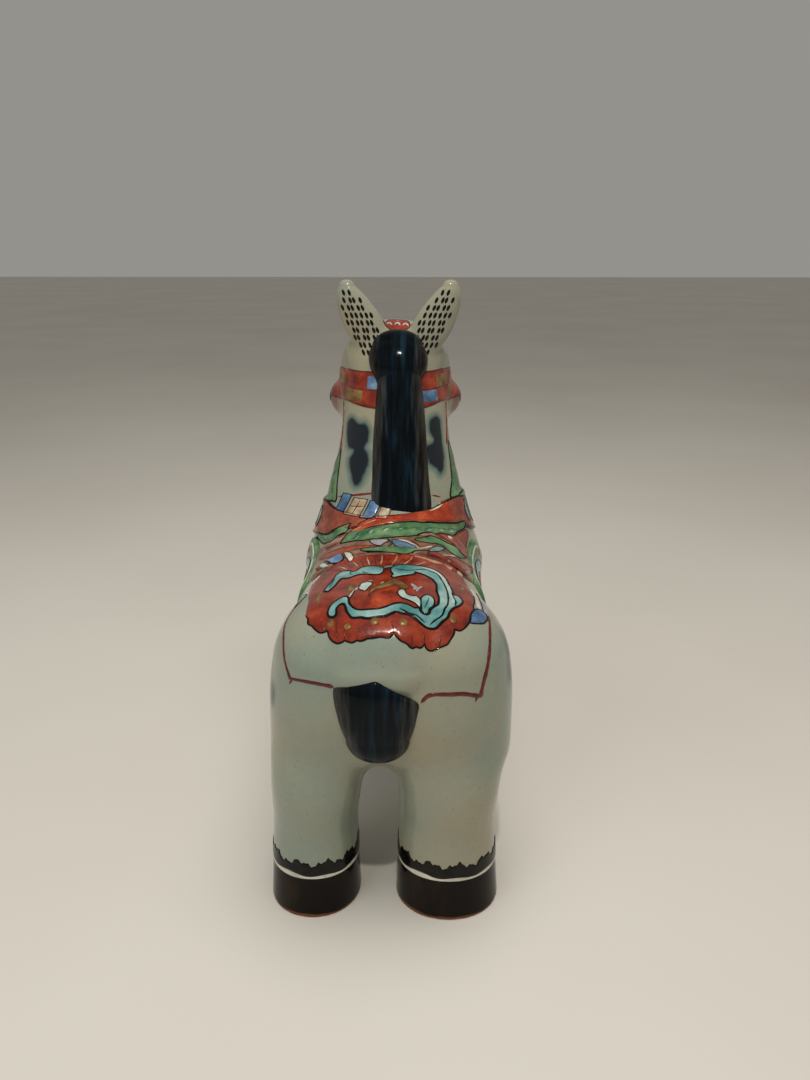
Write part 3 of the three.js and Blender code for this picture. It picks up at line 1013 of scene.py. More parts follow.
class Painter:
    """Lays raised shapes on the skin, over the slabs of cloth that are already there."""

    def __init__(self, skin):
        self.skin = skin
        self.layers = []

    def ground(self, places):
        """How far the cloth slabs stand proud of the body at each place."""
        lift = np.zeros(len(places))
        for layer in self.layers:
            lift = np.maximum(lift, layer(places))
        return lift

    def tube(self, sheet, chart, rows, section, thick, lift, closed):
        """A raised band over flat rows, one for each point of its section and one for its underside."""
        heights = [height if height < 0 else height * thick for _, height in section] + [-SINK]
        count, steps = len(rows), len(rows[0])
        places, normals = self.skin.meet(*chart(np.vstack(rows)))
        rise = self.ground(places) + lift + np.repeat(heights, steps)
        points = places + normals * rise[:, None]
        index = np.arange(count * steps).reshape(count, steps)
        ahead = np.roll(index, -1, 1)
        if not closed:
            index, ahead = index[:, :-1], index[:, 1:]
        corners = [index, ahead, np.roll(ahead, -1, 0), np.roll(index, -1, 0)]
        faces = halves(np.stack(corners, 2).reshape(-1, 4))
        if not closed:
            first, last = index[:, 0], ahead[:, -1]
            fans = []
            for i in range(1, count - 1):
                fans += [(first[0], first[i], first[i + 1]), (last[0], last[i + 1], last[i])]
            faces = np.vstack([faces, fans])
        a, b, c = (points[faces[:, i]] for i in range(3))
        middle = points.reshape(count, steps, 3).mean(0)
        outward = (a + b + c) / 3 - middle[faces[:, 0] % steps]
        if (np.cross(b - a, c - a) * outward).sum() < 0:
            faces = faces[:, ::-1]
        sheet.add(points, faces)

    def ring(self, sheet, chart, low, high, period, thick=0.2, lift=0.0, steps=240):
        """A raised band right round a form, between two edges that give v for each u."""
        u = np.arange(steps) / steps * period - period / 2
        bottom, top = low(u), high(u)
        rows = [np.stack([u, (bottom + top) / 2 + (top - bottom) / 2 * share], 1) for share, _ in SLAB]
        rows.append(rows[len(SLAB) // 2])
        self.tube(sheet, chart, rows, SLAB, thick, lift, True)

    def fill(self, sheet, chart, outline, thick, rim, lift=0.0):
        """A raised shape with rounded edges inside a closed outline."""
        loop = curve(outline, True)
        ring = np.vstack([loop + across_of(loop, True) * rim * way for way in (1, -1)])
        ring = ring[depth_in(ring, loop) > rim * 0.8]
        low, high = loop.min(0), loop.max(0)
        columns = np.arange(low[0], high[0], GRID)
        lines = np.arange(low[1], high[1], GRID * GRID_ROW)
        grid = [(x + GRID / 2 * (i % 2), y) for i, y in enumerate(lines) for x in columns]
        grid = np.array(grid).reshape(-1, 2)
        grid = grid[depth_in(grid, loop) > rim + GRID * GRID_GAP]
        flat = [Vector(row) for row in np.vstack([loop, ring, grid]).tolist()]
        found = delaunay_2d_cdt(flat, [], [list(range(len(loop)))], 1, SMALL)
        uv = np.array([tuple(point) for point in found[0]])
        triangles = np.array(found[2])
        depth = depth_in(uv, loop)
        edge = np.abs(depth) < EDGE_DEPTH
        triangles = triangles[~edge[triangles].all(1)]
        places, normals = self.skin.meet(*chart(uv))
        base = self.ground(places) + lift
        rise = np.where(edge, -DIP, dome(depth, thick, rim))
        top = places + normals * (base + rise)[:, None]
        sunk = places + normals * (base - SINK)[:, None]
        under = np.arange(len(uv))
        under[~edge] = len(uv) + np.arange((~edge).sum())
        points = np.vstack([top, sunk[~edge]])
        a, b, c = (top[triangles[:, i]] for i in range(3))
        if (np.cross(b - a, c - a) * normals[triangles[:, 0]]).sum() < 0:
            triangles = triangles[:, ::-1]
        sheet.add(points, np.vstack([triangles, under[triangles][:, ::-1]]))

    def stroke(self, sheet, chart, path, width=0.8, thick=0.16, lift=0.0, taper=1.5, closed=False,
               section=BRUSH):
        """A raised line along a path, pointed at its ends like a brush stroke.

        A path of three columns gives its own width at each point.
        """
        line = curve(path, closed)
        travel = np.cumsum(np.linalg.norm(np.diff(line[:, :2], axis=0), axis=1))
        travel = np.concatenate([[0], travel])
        wide = line[:, 2] / 2 if line.shape[1] == 3 else np.full(len(line), width / 2)
        line = line[:, :2]
        if section is BRUSH:
            wide = wide * sum((reach * np.sin(travel * pace) for reach, pace in WAVES), 1)
        if not closed and taper > 0:
            end = np.minimum(travel, travel[-1] - travel) / min(taper, travel[-1] / 2)
            wide = wide * np.sqrt(np.clip(end, TIP, 1))
        side = across_of(line, closed) * wide[:, None]
        rows = [line + side * offset for offset, _ in section] + [line]
        self.tube(sheet, chart, rows, section, thick, lift, closed)


def dome(depth, thick, rim):
    """A flat top with quarter-round edges, rim wide."""
    inward = np.clip(depth / rim, 0, 1)
    return thick * np.sqrt(1 - (1 - inward) ** 2)


def oval(x, y, wide, tall=None, turn=0.0):
    """An oval's outline."""
    angles = np.linspace(0, 2 * math.pi, OVAL_POINTS, endpoint=False)
    tall = wide if tall is None else tall
    c, s = math.cos(math.radians(turn)), math.sin(math.radians(turn))
    flat = np.stack([np.cos(angles) * wide, np.sin(angles) * tall], 1)
    return flat @ np.array([[c, s], [-s, c]]) + (x, y)


# ---------------------------------------------------------------- painting

EDGE_RISE = 0.06  # a line round a shape stands this much prouder than the shape
SHEETS = {}
PAINTER = None  # there is one as soon as the body is built


class Brush:
    """Paints on one chart in one region of the horse."""

    def __init__(self, region, chart):
        self.region, self.chart = region, chart

    def sheet(self, colour):
        """The sheet of one enamel in this region."""
        name = f"{self.region}_{colour}"
        if name not in SHEETS:
            SHEETS[name] = Sheet(name, *ENAMELS[colour])
        return SHEETS[name]

    def shape(self, colour, outline, edge=None, width=0.6, thick=0.18, lift=0.0, rim=0.4):
        """A filled shape, with a line round it where edge names that line's colour."""
        PAINTER.fill(self.sheet(colour), self.chart, outline, thick, rim, lift)
        if edge:
            thick += EDGE_RISE
            PAINTER.stroke(self.sheet(edge), self.chart, outline, width, thick, lift, closed=True)

    def line(self, colour, path, width=0.7, thick=0.12, lift=0.0, taper=1.5):
        """A brush line."""
        PAINTER.stroke(self.sheet(colour), self.chart, path, width, thick, lift, taper)

    def dots(self, colour, places, wide, tall=None, thick=0.2, lift=0.0):
        """Small ovals, all of one size."""
        for x, y in places:
            self.shape(colour, oval(x, y, wide, tall), thick=thick, lift=lift, rim=0.3)


# ---- the rump cloth: u to the right, v down

RUMP_CLOTH = [
    (-24.3, -15), (-25, -12), (-24.9, -6.8), (-24.5, -2), (-23.9, 1.6), (-23.3, 5.2), (-22.4, 8.5),
    (-21.6, 13.3), (-21.1, 16.6), (-20.1, 18.3), (-20.1, 18.3), (-19.8, 20.2), (-18.6, 21.3),
    (-18.6, 21.3), (-17.8, 22.4), (-16.6, 23.5), (-15.6, 23.6), (-14.6, 23.2), (-14.6, 23.2),
    (-14.1, 25), (-13.2, 26.2), (-11.7, 27.1), (-10.4, 26.9), (-9.8, 26.5), (-9.8, 26.5), (-8.8, 27),
    (-7.8, 27.1), (-6.9, 26.6), (-6.9, 26.6), (-6.1, 26.8), (-5, 26.5), (-4.4, 26.2), (-4.4, 26.2),
    (-3.1, 26.1), (-1.3, 25.8), (0.8, 25.9), (1.9, 24.6), (1.9, 24.6), (2.5, 25.6), (3.6, 26.6),
    (5, 27.2), (5.9, 28), (6.6, 28.2), (7.4, 27.8), (8.3, 28), (9.1, 27.5), (9.5, 26.8), (9.5, 26.8),
    (9.9, 27.8), (10.7, 28.4), (11.7, 28.4), (13.1, 27.6), (13.1, 27.6), (14.4, 27), (15.1, 26.4),
    (15.6, 25.4), (16.5, 23.4), (16.6, 22.2), (16.6, 22.2), (17.8, 22.5), (18.8, 21.7), (19.7, 20.4),
    (20.4, 19), (20.8, 17), (21.4, 15), (22.3, 13), (22.8, 10.3), (23.4, 8.5), (24.2, 4.7),
    (24.6, -0.5), (24.5, -4.7), (23.8, -9), (23, -13), (21.5, -16), (18, -18.5), (12, -18.2), (6, -17),
    (0, -16.2), (-8, -16.6), (-15, -17.2), (-20, -17)]
CLOTH_HEM = slice(8, 70)  # the scalloped part of its outline, which has a dark edge
CLOTH_FOLDS = [
    [(-15.6, 23.2), (-15, 20.6)], [(-9.8, 26.2), (-10, 23.4)], [(-6.9, 26.3), (-6.4, 23.6)],
    [(1.9, 24.4), (1.2, 21.6)], [(9.5, 26.6), (9.2, 24)], [(13.1, 27.3), (13.4, 24.4)],
    [(16.6, 22), (15.6, 20.6)], [(6.4, 27.8), (6.2, 25)]]
SCROLL = [
    (0.2, -6.6), (1.1, -8.1), (3, -9.3), (7.4, -9.7), (9.9, -9.9), (12, -9.7), (13.7, -9.1), (15.1, -7.6),
    (16.2, -5.5), (17, -2.6), (17.3, 0.5), (17.8, 3.7), (17.9, 5.4), (17.6, 7.9), (17.6, 7.9), (18.5, 7.3),
    (19.3, 8.1), (19.8, 10), (19.3, 11.8), (18.5, 13.3), (17.2, 14.6), (16.4, 15.6), (15.6, 17.1),
    (15, 18.9), (13.7, 20.4), (12.7, 21.9), (12, 22.5), (10.3, 22.6), (8.6, 21.7), (6.9, 20.2),
    (5.3, 19.4), (3.6, 19.2), (2.3, 18.8), (1.1, 19.4), (-0.4, 20.2), (-2.1, 20.4), (-4.6, 20.9),
    (-6.1, 20.6), (-8.2, 20.6), (-9, 19.8), (-9.9, 18.3), (-10.5, 16.4), (-11.1, 15.5), (-11.8, 15.4),
    (-12.4, 16), (-12.8, 16.8), (-12.6, 18.1), (-12.8, 19.2), (-13.6, 19.4), (-14.5, 18.9), (-15, 17.9),
    (-15, 16.2), (-14.5, 14.7), (-13.4, 13.5), (-12, 12.4), (-11.1, 12.3), (-10.2, 13.1), (-9.7, 15.2),
    (-9, 16.6), (-7.8, 17.9), (-6.3, 18.3), (-4.6, 18.2), (-2.5, 18.1), (-0.6, 17.5), (1.5, 16.3),
    (3.2, 15.8), (4.6, 16), (5.7, 16.4), (6.9, 17.1), (7.8, 16.8), (8.2, 17.5), (8.6, 18.3), (9.7, 18.7),
    (10.6, 18.3), (11.1, 16.8), (12.4, 15.2), (13, 14.5), (13.5, 11), (13.4, 7.8), (13.6, 2.6),
    (13.2, 0.5), (12.4, -1.6), (11.1, -2.8), (9.7, -3.7), (8.2, -4.3), (7.2, -4.7), (7.2, -4.7),
    (7.4, -3.7), (6.5, -2.4), (5.1, -1.6), (3.6, -0.9), (2.7, -0.3), (1.3, 0.3), (0.4, -0.3),
    (0.8, -2), (0.2, -3.7), (0, -5.1)]
SCROLL_RIM = [(9, -8.9, 0.6), (12, -8.6, 1), (14, -7.4, 1.2), (15.6, -4.6, 1.2), (16.4, -0.6, 1.2),
              (16.9, 3, 1.2), (17, 7, 1.1), (17.2, 10.5, 1), (16.8, 13.4, 0.6)]
SCROLL_VEINS = [
    [(1.3, -5.8), (3, -5.1), (5.1, -5), (7.2, -5.8), (9.7, -7.5), (12, -7), (13.5, -6.4), (14.5, -4.7),
     (15, -2.6), (15.6, -0.3), (16, 2.6), (16.2, 5.8), (16.1, 8.9), (15.8, 11.6), (15.3, 14.3),
     (14.5, 16), (13.7, 18.5), (12, 20.2), (10.7, 21.7)],
    [(17.3, 6.8), (17.5, 10.3), (17.7, 12), (17.2, 14.1)],
    [(3.1, 17.7), (4.4, 18.5), (5.7, 19.2), (7.2, 19.4), (8.2, 20.2), (9.5, 21.3)]]
HIGH_SCROLL = [
    (-17.5, 5.6), (-18.6, 4.3), (-18.4, 1.6), (-17.4, -2), (-16.9, -4.7), (-16.3, -7.2), (-15.3, -8.3),
    (-14.1, -8.7), (-12.8, -8.1), (-11.8, -7), (-10.9, -6), (-9.9, -6.6), (-9, -7.9), (-7.3, -8.5),
    (-5, -8.3), (-3.1, -7.4), (-2.1, -6.6), (-2, -4.9), (-2.3, -3.2), (-3.1, -2), (-4.6, -1.8),
    (-6.3, -2.4), (-8.2, -3), (-10.1, -2.8), (-11.5, -2.2), (-12.8, -2), (-13.6, -2.6), (-14.5, -2.8),
    (-14.9, -2), (-15.4, -0.3), (-15.7, 1.6), (-16.4, 3.5), (-17, 5.2)]
SCROLL_TOUCHES = [  # colour, path, width and lift
    ("turquoise", [(-2.6, -6.4), (-0.8, -7.8), (1.4, -8.2)], 0.9, 0.12),
    ("ink", [(-2.4, -5.2), (-0.9, -6.6), (0.3, -6.4)], 0.5, 0.12),
    ("teal", [(-11.7, -6.6), (-11.8, -4.3), (-11.1, -3.6)], 0.5, 0.33),
    ("teal", [(-8.2, -5.1), (-7.8, -3.9), (-6.5, -3)], 0.5, 0.33),
    ("teal", [(-16.4, -4), (-17, 0), (-17.3, 3.6)], 0.4, 0.33)]
HOOK_LEAF = [(-8.2, 3.9), (-7.1, 3.3), (-5.9, 3.1), (-5, 3.9), (-4.9, 5.4), (-5.4, 6.8), (-5.7, 8.5),
             (-6.3, 10.2), (-6.9, 9.5), (-7.6, 9.1), (-8.2, 8), (-8.6, 6.8), (-8.4, 5.8)]
GOLD_LEAF = [(-12, 4.7), (-10.5, 3.5), (-9.4, 4.7), (-9.6, 7.9), (-10.9, 12), (-11.5, 6.8)]
WHITE_LEAF = [(3.2, 9.1), (4, 8.8), (4.6, 9.9), (5, 11.6), (6.3, 12.3), (7.4, 12), (8.2, 12.9),
              (8.6, 14.1), (8.5, 15.6), (8.2, 16.6), (6.9, 15.2), (5.3, 14.3), (3.6, 13.5), (2.7, 12),
              (2.6, 10.3)]
TEAL_LEAF = [(8.6, 13.9), (8.8, 12.4), (9.7, 11), (10.7, 10.4), (11.8, 11.4), (12.2, 13.1),
             (11.8, 15.2), (10.7, 16.6), (10.3, 18.1), (9.5, 18.5), (8.7, 17.7), (8.6, 16)]
GOLD_PEAK = [(-4.9, 13.3), (-5, 11.6), (-4.8, 8.9), (-4.2, 7.5), (-2.5, 5.6), (-1.2, 3.7), (1.2, 1.4),
             (3.2, 2.6), (4.6, 4.3), (5.7, 6), (5, 7.9), (3.6, 7.9), (2.7, 6.4), (1.7, 5.4), (0.4, 6.8),
             (-1.7, 8.5), (-3.6, 9.8), (-4.6, 12)]
BRIGHT_FIELD = [(-4.2, 13.6), (-3.2, 10.8), (-1.4, 9.2), (0.7, 7.6), (1.8, 6.6), (2.9, 8.6), (2.2, 10.2),
                (2.4, 13), (4.4, 14.9), (2.4, 15.4), (0, 16.8), (-2.8, 17.2), (-4.2, 16)]
CLOTH_TOUCHES = [  # colour, path, width, thickness and lift
    ("lilac", [(6.3, 4), (7.5, 6), (7, 8)], 1.3, 0.14, 0.12),
    ("lilac", [(9.5, 5), (8.2, 7), (7.8, 9)], 1.2, 0.14, 0.12),
    ("cream", [(-6.3, 1.8), (-4.9, 2.4)], 0.9, 0.12, 0.12),
    ("cream", [(-1.5, 3.5), (-2.5, 5.2)], 0.9, 0.12, 0.25),
    ("maroon", [(-11.7, 16.5), (-12.2, 21), (-11.8, 25.5)], 0.6, 0.1, 0.14),
    ("gold", [(-19.4, 4, 0.8), (-19.2, 8.5, 1.7), (-18.4, 12.6, 1)], 1.4, 0.12, 0.12),
    ("gold", [(20.8, -5.6, 1), (21.2, -2, 1.8), (20.4, 1, 1)], 1.4, 0.12, 0.12)]
BLUE_TAB = [(22.3, 13.3), (23.1, 12), (24.2, 11.2), (25.2, 11.4), (26.1, 12.6), (26, 14.7), (25.2, 16.4),
            (24.2, 17.9), (22.5, 18.8), (20.6, 19.2), (20.8, 17.9), (21.2, 15.6)]
SIDE_EDGINGS = [  # colour, path and thickness. A point's third number is the line's width there
    ("white", [(24.4, -11, 1.2), (25.4, -4, 2), (25.2, 3, 2), (24.6, 10.6, 1.6)], 0.16),
    ("lilac", [(27, -12, 1.6), (27.8, -4, 2.8), (27.5, 4, 2.8), (26.6, 11, 1.8)], 0.14),
    ("ink", [(26.2, -11), (26.6, -3), (26.3, 5), (25.6, 11)], 0.2),
    ("white", [(-25, -2.4, 1), (-26.1, -8, 1.8), (-25, -14, 1.8), (-21, -18.4, 1.2)], 0.16),
    ("lilac", [(-26.6, -3, 1), (-28, -9, 1.8), (-27, -15, 1.8), (-23.6, -19.6, 1)], 0.14)]
LILAC_WEDGE = [(-27.6, 6.4), (-27.6, 6.4), (-27.5, 1), (-26.8, -2.8), (-25.3, -3), (-25.2, -0.4),
               (-26.2, 3)]
CRUPPERS = [
    [(-27.6, 5.6, 0.6), (-28.5, 10, 0.8), (-28.6, 15, 0.9), (-27.2, 24, 1), (-26.5, 30, 1),
     (-25.2, 36.2, 1.2), (-25.2, 36.2, 1.2), (-20, 37, 1.1), (-13.4, 38.2, 1.4)],
    [(27, 12, 1), (26, 20, 1), (25.5, 26, 1.1), (25, 33, 1.2), (24.3, 41, 1.3), (24.3, 41, 1.3),
     (20, 40, 1.6), (17, 40, 1.3), (11.8, 40.2, 1.4), (9.6, 42.4, 0.9)]]


def paint_rump():
    """The scalloped red cloth over the haunches, with its scrolls, leaves, peak and gold dots."""
    brush = Brush("rump", rump_chart)
    brush.shape("red", RUMP_CLOTH, thick=0.14)
    brush.line("ink", RUMP_CLOTH[CLOTH_HEM], 0.5, 0.2)
    for fold in CLOTH_FOLDS:
        brush.line("maroon", fold, 0.4, 0.08, 0.14)
    for turn in range(-17, 13, 2):
        rays = [(turn * 0.82 - 0.6, -9.6), (turn * 0.95, -12.6), (turn * 1.06 + 0.4, -15.6)]
        brush.line("cream" if turn % 4 == 1 else "maroon", rays, 0.5, 0.07, 0.14)
    brush.shape("orange", BRIGHT_FIELD, thick=0.1, lift=0.12)
    brush.shape("turquoise", SCROLL, "ink", 0.85, 0.22, 0.12)
    brush.line("pale", SCROLL_RIM, 1, 0.08, 0.32)
    for vein in SCROLL_VEINS:
        brush.line("ink", vein, 0.6, 0.1, 0.33)
    brush.shape("turquoise", HIGH_SCROLL, "ink", 0.7, 0.22, 0.12)
    for colour, path, width, lift in SCROLL_TOUCHES:
        brush.line(colour, path, width, 0.1 if colour == "teal" else 0.2, lift)
    brush.shape("pale", HOOK_LEAF, "ink", 0.45, 0.16, 0.12, 0.3)
    brush.line("pale", [(-8.5, 6), (-9.4, 8.9), (-10.1, 13.1)], 0.7, 0.14, 0.12)
    brush.line("ink", [(-9.2, 8), (-9.3, 11.2), (-9.6, 13.7)], 0.4, 0.16, 0.12)
    brush.shape("gold", GOLD_LEAF, thick=0.12, lift=0.12, rim=0.3)
    brush.shape("pale", WHITE_LEAF, "ink", 0.5, 0.16, 0.12, 0.3)
    brush.shape("turquoise", TEAL_LEAF, "ink", 0.6, 0.16, 0.12, 0.3)
    brush.line("teal", [(9.4, 16.6), (10.2, 14.4), (10.8, 12.2)], 0.5, 0.1, 0.26)
    brush.shape("gold", GOLD_PEAK, "maroon", 0.4, 0.14, 0.12, 0.3)
    for colour, path, width, thick, lift in CLOTH_TOUCHES:
        brush.line(colour, path, width, thick, lift)
    brush.dots("gold", [(-2.8, 21.7), (4.1, 21.8)], 1.2, lift=0.12)
    brush.dots("gold", [(-13.9, 21.2), (16.4, 19)], 1, 1.5, lift=0.12)
    brush.dots("gold", [(-9.2, 23)], 1, lift=0.12)
    brush.shape("blue", BLUE_TAB, "ink", 0.5, 0.18)
    for colour, path, thick in SIDE_EDGINGS:
        brush.line(colour, path, 0.4, thick)
    brush.shape("lilac", LILAC_WEDGE, "ink", 0.5, 0.16, rim=0.3)
    for path in CRUPPERS:
        brush.line("maroon", path, 1, 0.16, taper=0.8)
    brush.line("maroon", [(23.6, 40.6), (23, 42.6)], 0.8, 0.14)
    brush.line("maroon", [(-24.4, 36.6), (-25.6, 38)], 0.8, 0.14)


# ---- the saddle, on the back chart: u to the right, v forward

GREEN_BAND = [
    (-15.5, -4.8), (-13.9, -4.6), (-12, -4), (-9.9, -3), (-7.8, -2.6), (-4.9, -2.2), (-2.1, -1.7),
    (0, -1.1), (2.7, -0.4), (5.1, 0.1), (7.5, 0.7), (10.1, 1.3), (12.3, 2.4), (14.7, 3.5), (16.9, 5),
    (19.1, 7), (20.8, 9), (21.9, 10.7), (22.8, 12.7), (23.2, 14), (23.2, 14), (25.4, 14), (25.4, 14),
    (25, 11.8), (24.1, 9.6), (23.2, 7), (22.6, 4.4), (21.5, 2.6), (19.7, 0.7), (17.3, -0.9), (15.8, -2.8),
    (14.5, -4.2), (12.5, -5.8), (10.5, -7.5), (7.9, -9.3), (5.1, -10.6), (0, -12.2), (-5, -13.2),
    (-7.9, -13.4), (-10, -13.6), (-12.5, -12.6), (-15, -11.7), (-19, -9.5), (-17, -7)]
BAND_VEINS = [(-13, -8), (-8, -6.2), (-2.6, -5.6), (3, -4.6), (8, -3), (13, -0.6), (17.4, 3), (21, 6.6)]
GREEN_WEDGE = [(-24.9, 6.5), (-22, 4.6), (-18, 3), (-15, 2.2), (-16.5, 1.2), (-18.5, 0), (-20.5, -1.2),
               (-22.8, -2.5), (-24.5, -1), (-26, 1.2), (-27.5, 4), (-28.5, 7), (-29.3, 10.5), (-29.8, 14),
               (-28.6, 14), (-27.5, 11), (-26.3, 8.6)]
LILAC_PATCH = [(-8, -14.5), (-4.5, -14), (-1.2, -15), (-2.5, -19), (-4, -22), (-6.5, -19.5)]
BLUE_PATCH = [(0.3, -15), (2.3, -15.5), (5.5, -17.5), (8.5, -21.5), (8, -24), (3, -24), (0.5, -19)]
WHITE_RAYS = [[(2, -15.2), (5, -15.5), (8.5, -20), (9.5, -23.5)], [(14.5, -16), (12, -20), (9.8, -23.5)],
              [(23, -15), (20, -20), (17, -24)]]
TEAL_CREST = [(19, -13), (18, -17), (15, -22), (12.5, -24.5), (14, -19), (16.5, -14)]
LEAF_STRIP = [(13, -8), (16, -7.5), (20, -7.8), (25, -6.8), (28, -7), (27, -9.5), (24.5, -13.5),
              (21, -13.8), (18, -11), (14, -13), (11, -14), (8.5, -13.5), (9, -11)]
GREEN_HEM = [(-9.5, -28), (-7, -27.8), (-3, -27.5), (-0.5, -26), (2, -25), (6, -25), (9.5, -25),
             (12, -23.8), (17, -23.5), (17, -24.5), (14, -26.8), (10, -28.5), (7, -30.5), (5, -32.2),
             (2, -31.5), (-2, -30.5), (-6, -30.2), (-9, -29.5)]
RED_SWEEP = [(-27, -12.5), (-24, -13), (-20, -14.5), (-16, -17), (-13, -19), (-10, -20), (-7, -21.5),
             (-4.5, -23), (-2.3, -25.2), (-3, -26), (-6, -26.6), (-10, -26.8), (-13, -26.2), (-16, -25.5),
             (-19, -23.5), (-21.5, -21), (-24, -17), (-26, -14.5)]
SKY_PATCH = [(-19.5, -23.8), (-17, -25.2), (-16, -27.5), (-15, -31), (-16.5, -33), (-19, -31), (-21, -28),
             (-22.5, -25)]
WHITE_PATCH = [(-15, -27), (-12.5, -29.5), (-11.5, -33), (-13, -34), (-14, -31.5), (-15, -28.5)]
RED_FLANK = [(15.3, -5.2), (17.5, -1.2), (19.8, 0.4), (21.8, 2.4), (23.4, 6), (25.2, 11), (26.2, 14),
             (28, 14), (28.6, 9), (29, 4), (28.8, -1), (28.5, -5.5), (24, -6.3), (19, -6.5)]
RED_SIDE = [(20, -20.5), (23, -17), (26, -15), (29, -12), (31.5, -10), (31, -14), (29.5, -19), (28, -24),
            (26, -29), (24, -32), (20, -31), (15, -30), (12, -30), (13.5, -27.5), (16, -25.5),
            (18.5, -23)]
SEAT = [(-32, -20), (-30, -28), (-24, -33), (-12, -34), (0, -34), (12, -34), (24, -33), (30, -28),
        (32.5, -20), (33, -9), (32, 0), (27, 3.4), (16, 2.4), (0, 1.2), (-16, 0), (-27, 1.6), (-32, -1),
        (-33, -9)]
ARCH = [(-1, -DIP), (-0.92, 0.42), (-0.74, 0.72), (-0.42, 0.93), (0, 1), (0.42, 0.93), (0.74, 0.72),
        (0.92, 0.42), (1, -DIP)]  # an arch's rounded section
ARCHES = (("saddle_front_arch", -6.2, 4.4), ("saddle_rear_arch", -28, 4.6))  # name, v and width
ARCH_REACH = 25  # how far an arch goes to either side
ARCH_HEIGHT = 0.9
ARCH_TAPER = 3
SEAT_THICK, SEAT_RIM = 1.0, 2.6
FLAP_THICK, FLAP_RIM = 1.4, 0.9
COLLAR_THICK = 1.2
COLLAR_DEGREE = 0.5  # about how many millimetres a degree on the collar's chart is
FLAP = [(30, 14), (32, 17), (38, 18.5), (47, 18), (55, 16.5), (59.5, 12), (61, 2), (60, -10), (57, -18),
        (51, -22), (42, -23), (34, -21.5), (30.5, -17), (29.5, -6), (29.5, 5)]
FLAP_BORDER = [(32.4, 12.6), (38, 15.6), (47, 15.2), (54.5, 13), (57.4, 8), (58, 0), (56.8, -10),
               (53.6, -16.8), (47, -19.6), (39, -19.6), (33.4, -16), (32, -6), (31.8, 4)]
FLAP_CORNERS = [(52.6, 10.6), (52.6, -13.4), (34.6, 13.4), (34.6, -16)]
FLAP_LEAF = [(34, 2), (36, 9), (41, 12.6), (46.4, 9.4), (51.6, 4.6), (55, -1.4), (51, -6.6), (46, -12),
             (40.6, -14.4), (36, -10), (34.2, -4)]
FLAP_HEART = [(37.4, 1.6), (39.6, 6), (43.4, 5.6), (47.6, 1.6), (50.4, -1.2), (47, -4.8), (42.6, -7.8),
              (38.6, -5.6), (37.4, -2)]


def mirrored(outline, side):
    """An outline for the right side, or turned over for the left."""
    return [(side * u, v) for u, v in outline]


def paint_seat():
    """The saddle's painted bands, patches and leaf strips."""
    brush = Brush("saddle", back_chart)
    brush.shape("brick", RED_FLANK, "maroon", 0.5)
    brush.shape("orange", RED_SWEEP, "maroon", 0.5)
    brush.shape("red", RED_SIDE, "maroon", 0.5)
    brush.shape("green", GREEN_BAND, "ink", 0.6, 0.24)
    for u, v in BAND_VEINS:
        brush.line("teal", [(u - 1.6, v - 2.2), (u, v), (u + 2.4, v + 1.4)], 0.5, 0.08, 0.2)
        brush.line("pale", [(u - 0.6, v - 2.4), (u + 1, v - 0.6)], 0.5, 0.07, 0.2)
    brush.shape("green", GREEN_WEDGE, "ink", 0.5, 0.22)
    brush.line("teal", [(-27.4, 8.6), (-25.6, 3.4), (-21.6, 0.8)], 0.5, 0.08, 0.19)
    brush.shape("lilac", LILAC_PATCH, "ink", 0.5)
    brush.shape("blue", BLUE_PATCH, "ink", 0.5)
    brush.line("teal", [(-1.8, -13), (-0.5, -17), (0, -20.4), (-1.4, -24)], 0.9, 0.2)
    for path in WHITE_RAYS:
        brush.line("white", path, 1.1, 0.2)
    brush.line("maroon", [(7, -14.4), (10, -19)], 1.2, 0.14)
    brush.shape("turquoise", TEAL_CREST, "ink", 0.5)
    brush.shape("green", LEAF_STRIP, "ink", 0.5)
    brush.shape("green", GREEN_HEM, "ink", 0.5)
    brush.shape("blue", SKY_PATCH, "ink", 0.5)
    brush.shape("white", WHITE_PATCH, "ink", 0.35)
    brush.line("pale", [(-27, -22), (-24, -27), (-20, -32)], 1.4, 0.18)
    brush.line("cream", [(8, -33), (12, -33.5), (20, -33.6), (24, -33)], 1.5, 0.16)
    brush.line("ink", [(12, -31.6), (18, -32), (25, -31.4)], 0.5, 0.2)
    brush.dots("white", [(21, -0.6)], 1, lift=0.16)
    brush.dots("maroon", [(17.8, -4.4)], 1.2, lift=0.16)
    for u, v in ((-20.6, -17.4), (-14, -22.4), (25.6, -20.5), (23.4, -27)):
        brush.line("gold", [(u - 1.6, v + 0.9), (u, v), (u + 1.6, v - 1.2)], 1.1, 0.1, 0.16)
    for u in range(-8, 9, 2):
        brush.line("maroon", [(u * 0.9, -34.6), (u, -32.2)], 0.35, 0.1)


def paint_flaps():
    """Each flap's border, leaf and corner dots."""
    for side, word in SIDES:
        brush = Brush(f"{word}_flap", back_chart)
        border = mirrored(FLAP_BORDER, side)
        PAINTER.stroke(brush.sheet("white"), brush.chart, border, 0.9, 0.16, closed=True)
        brush.shape("turquoise", mirrored(FLAP_LEAF, side), "ink", 0.5)
        brush.shape("gold", mirrored(FLAP_HEART, side), "maroon", 0.4, 0.14, 0.17)
        brush.dots("gold", mirrored(FLAP_CORNERS, side), 1.3)
        for v in (-7, -3, 1, 5):
            vein = mirrored([(39.6, v), (42, v * 0.9), (45, v * 0.6 - 0.4)], side)
            brush.line("pale", vein, 0.6, 0.08, 0.26)


# ---- the neck: u to the right from the mane, v up

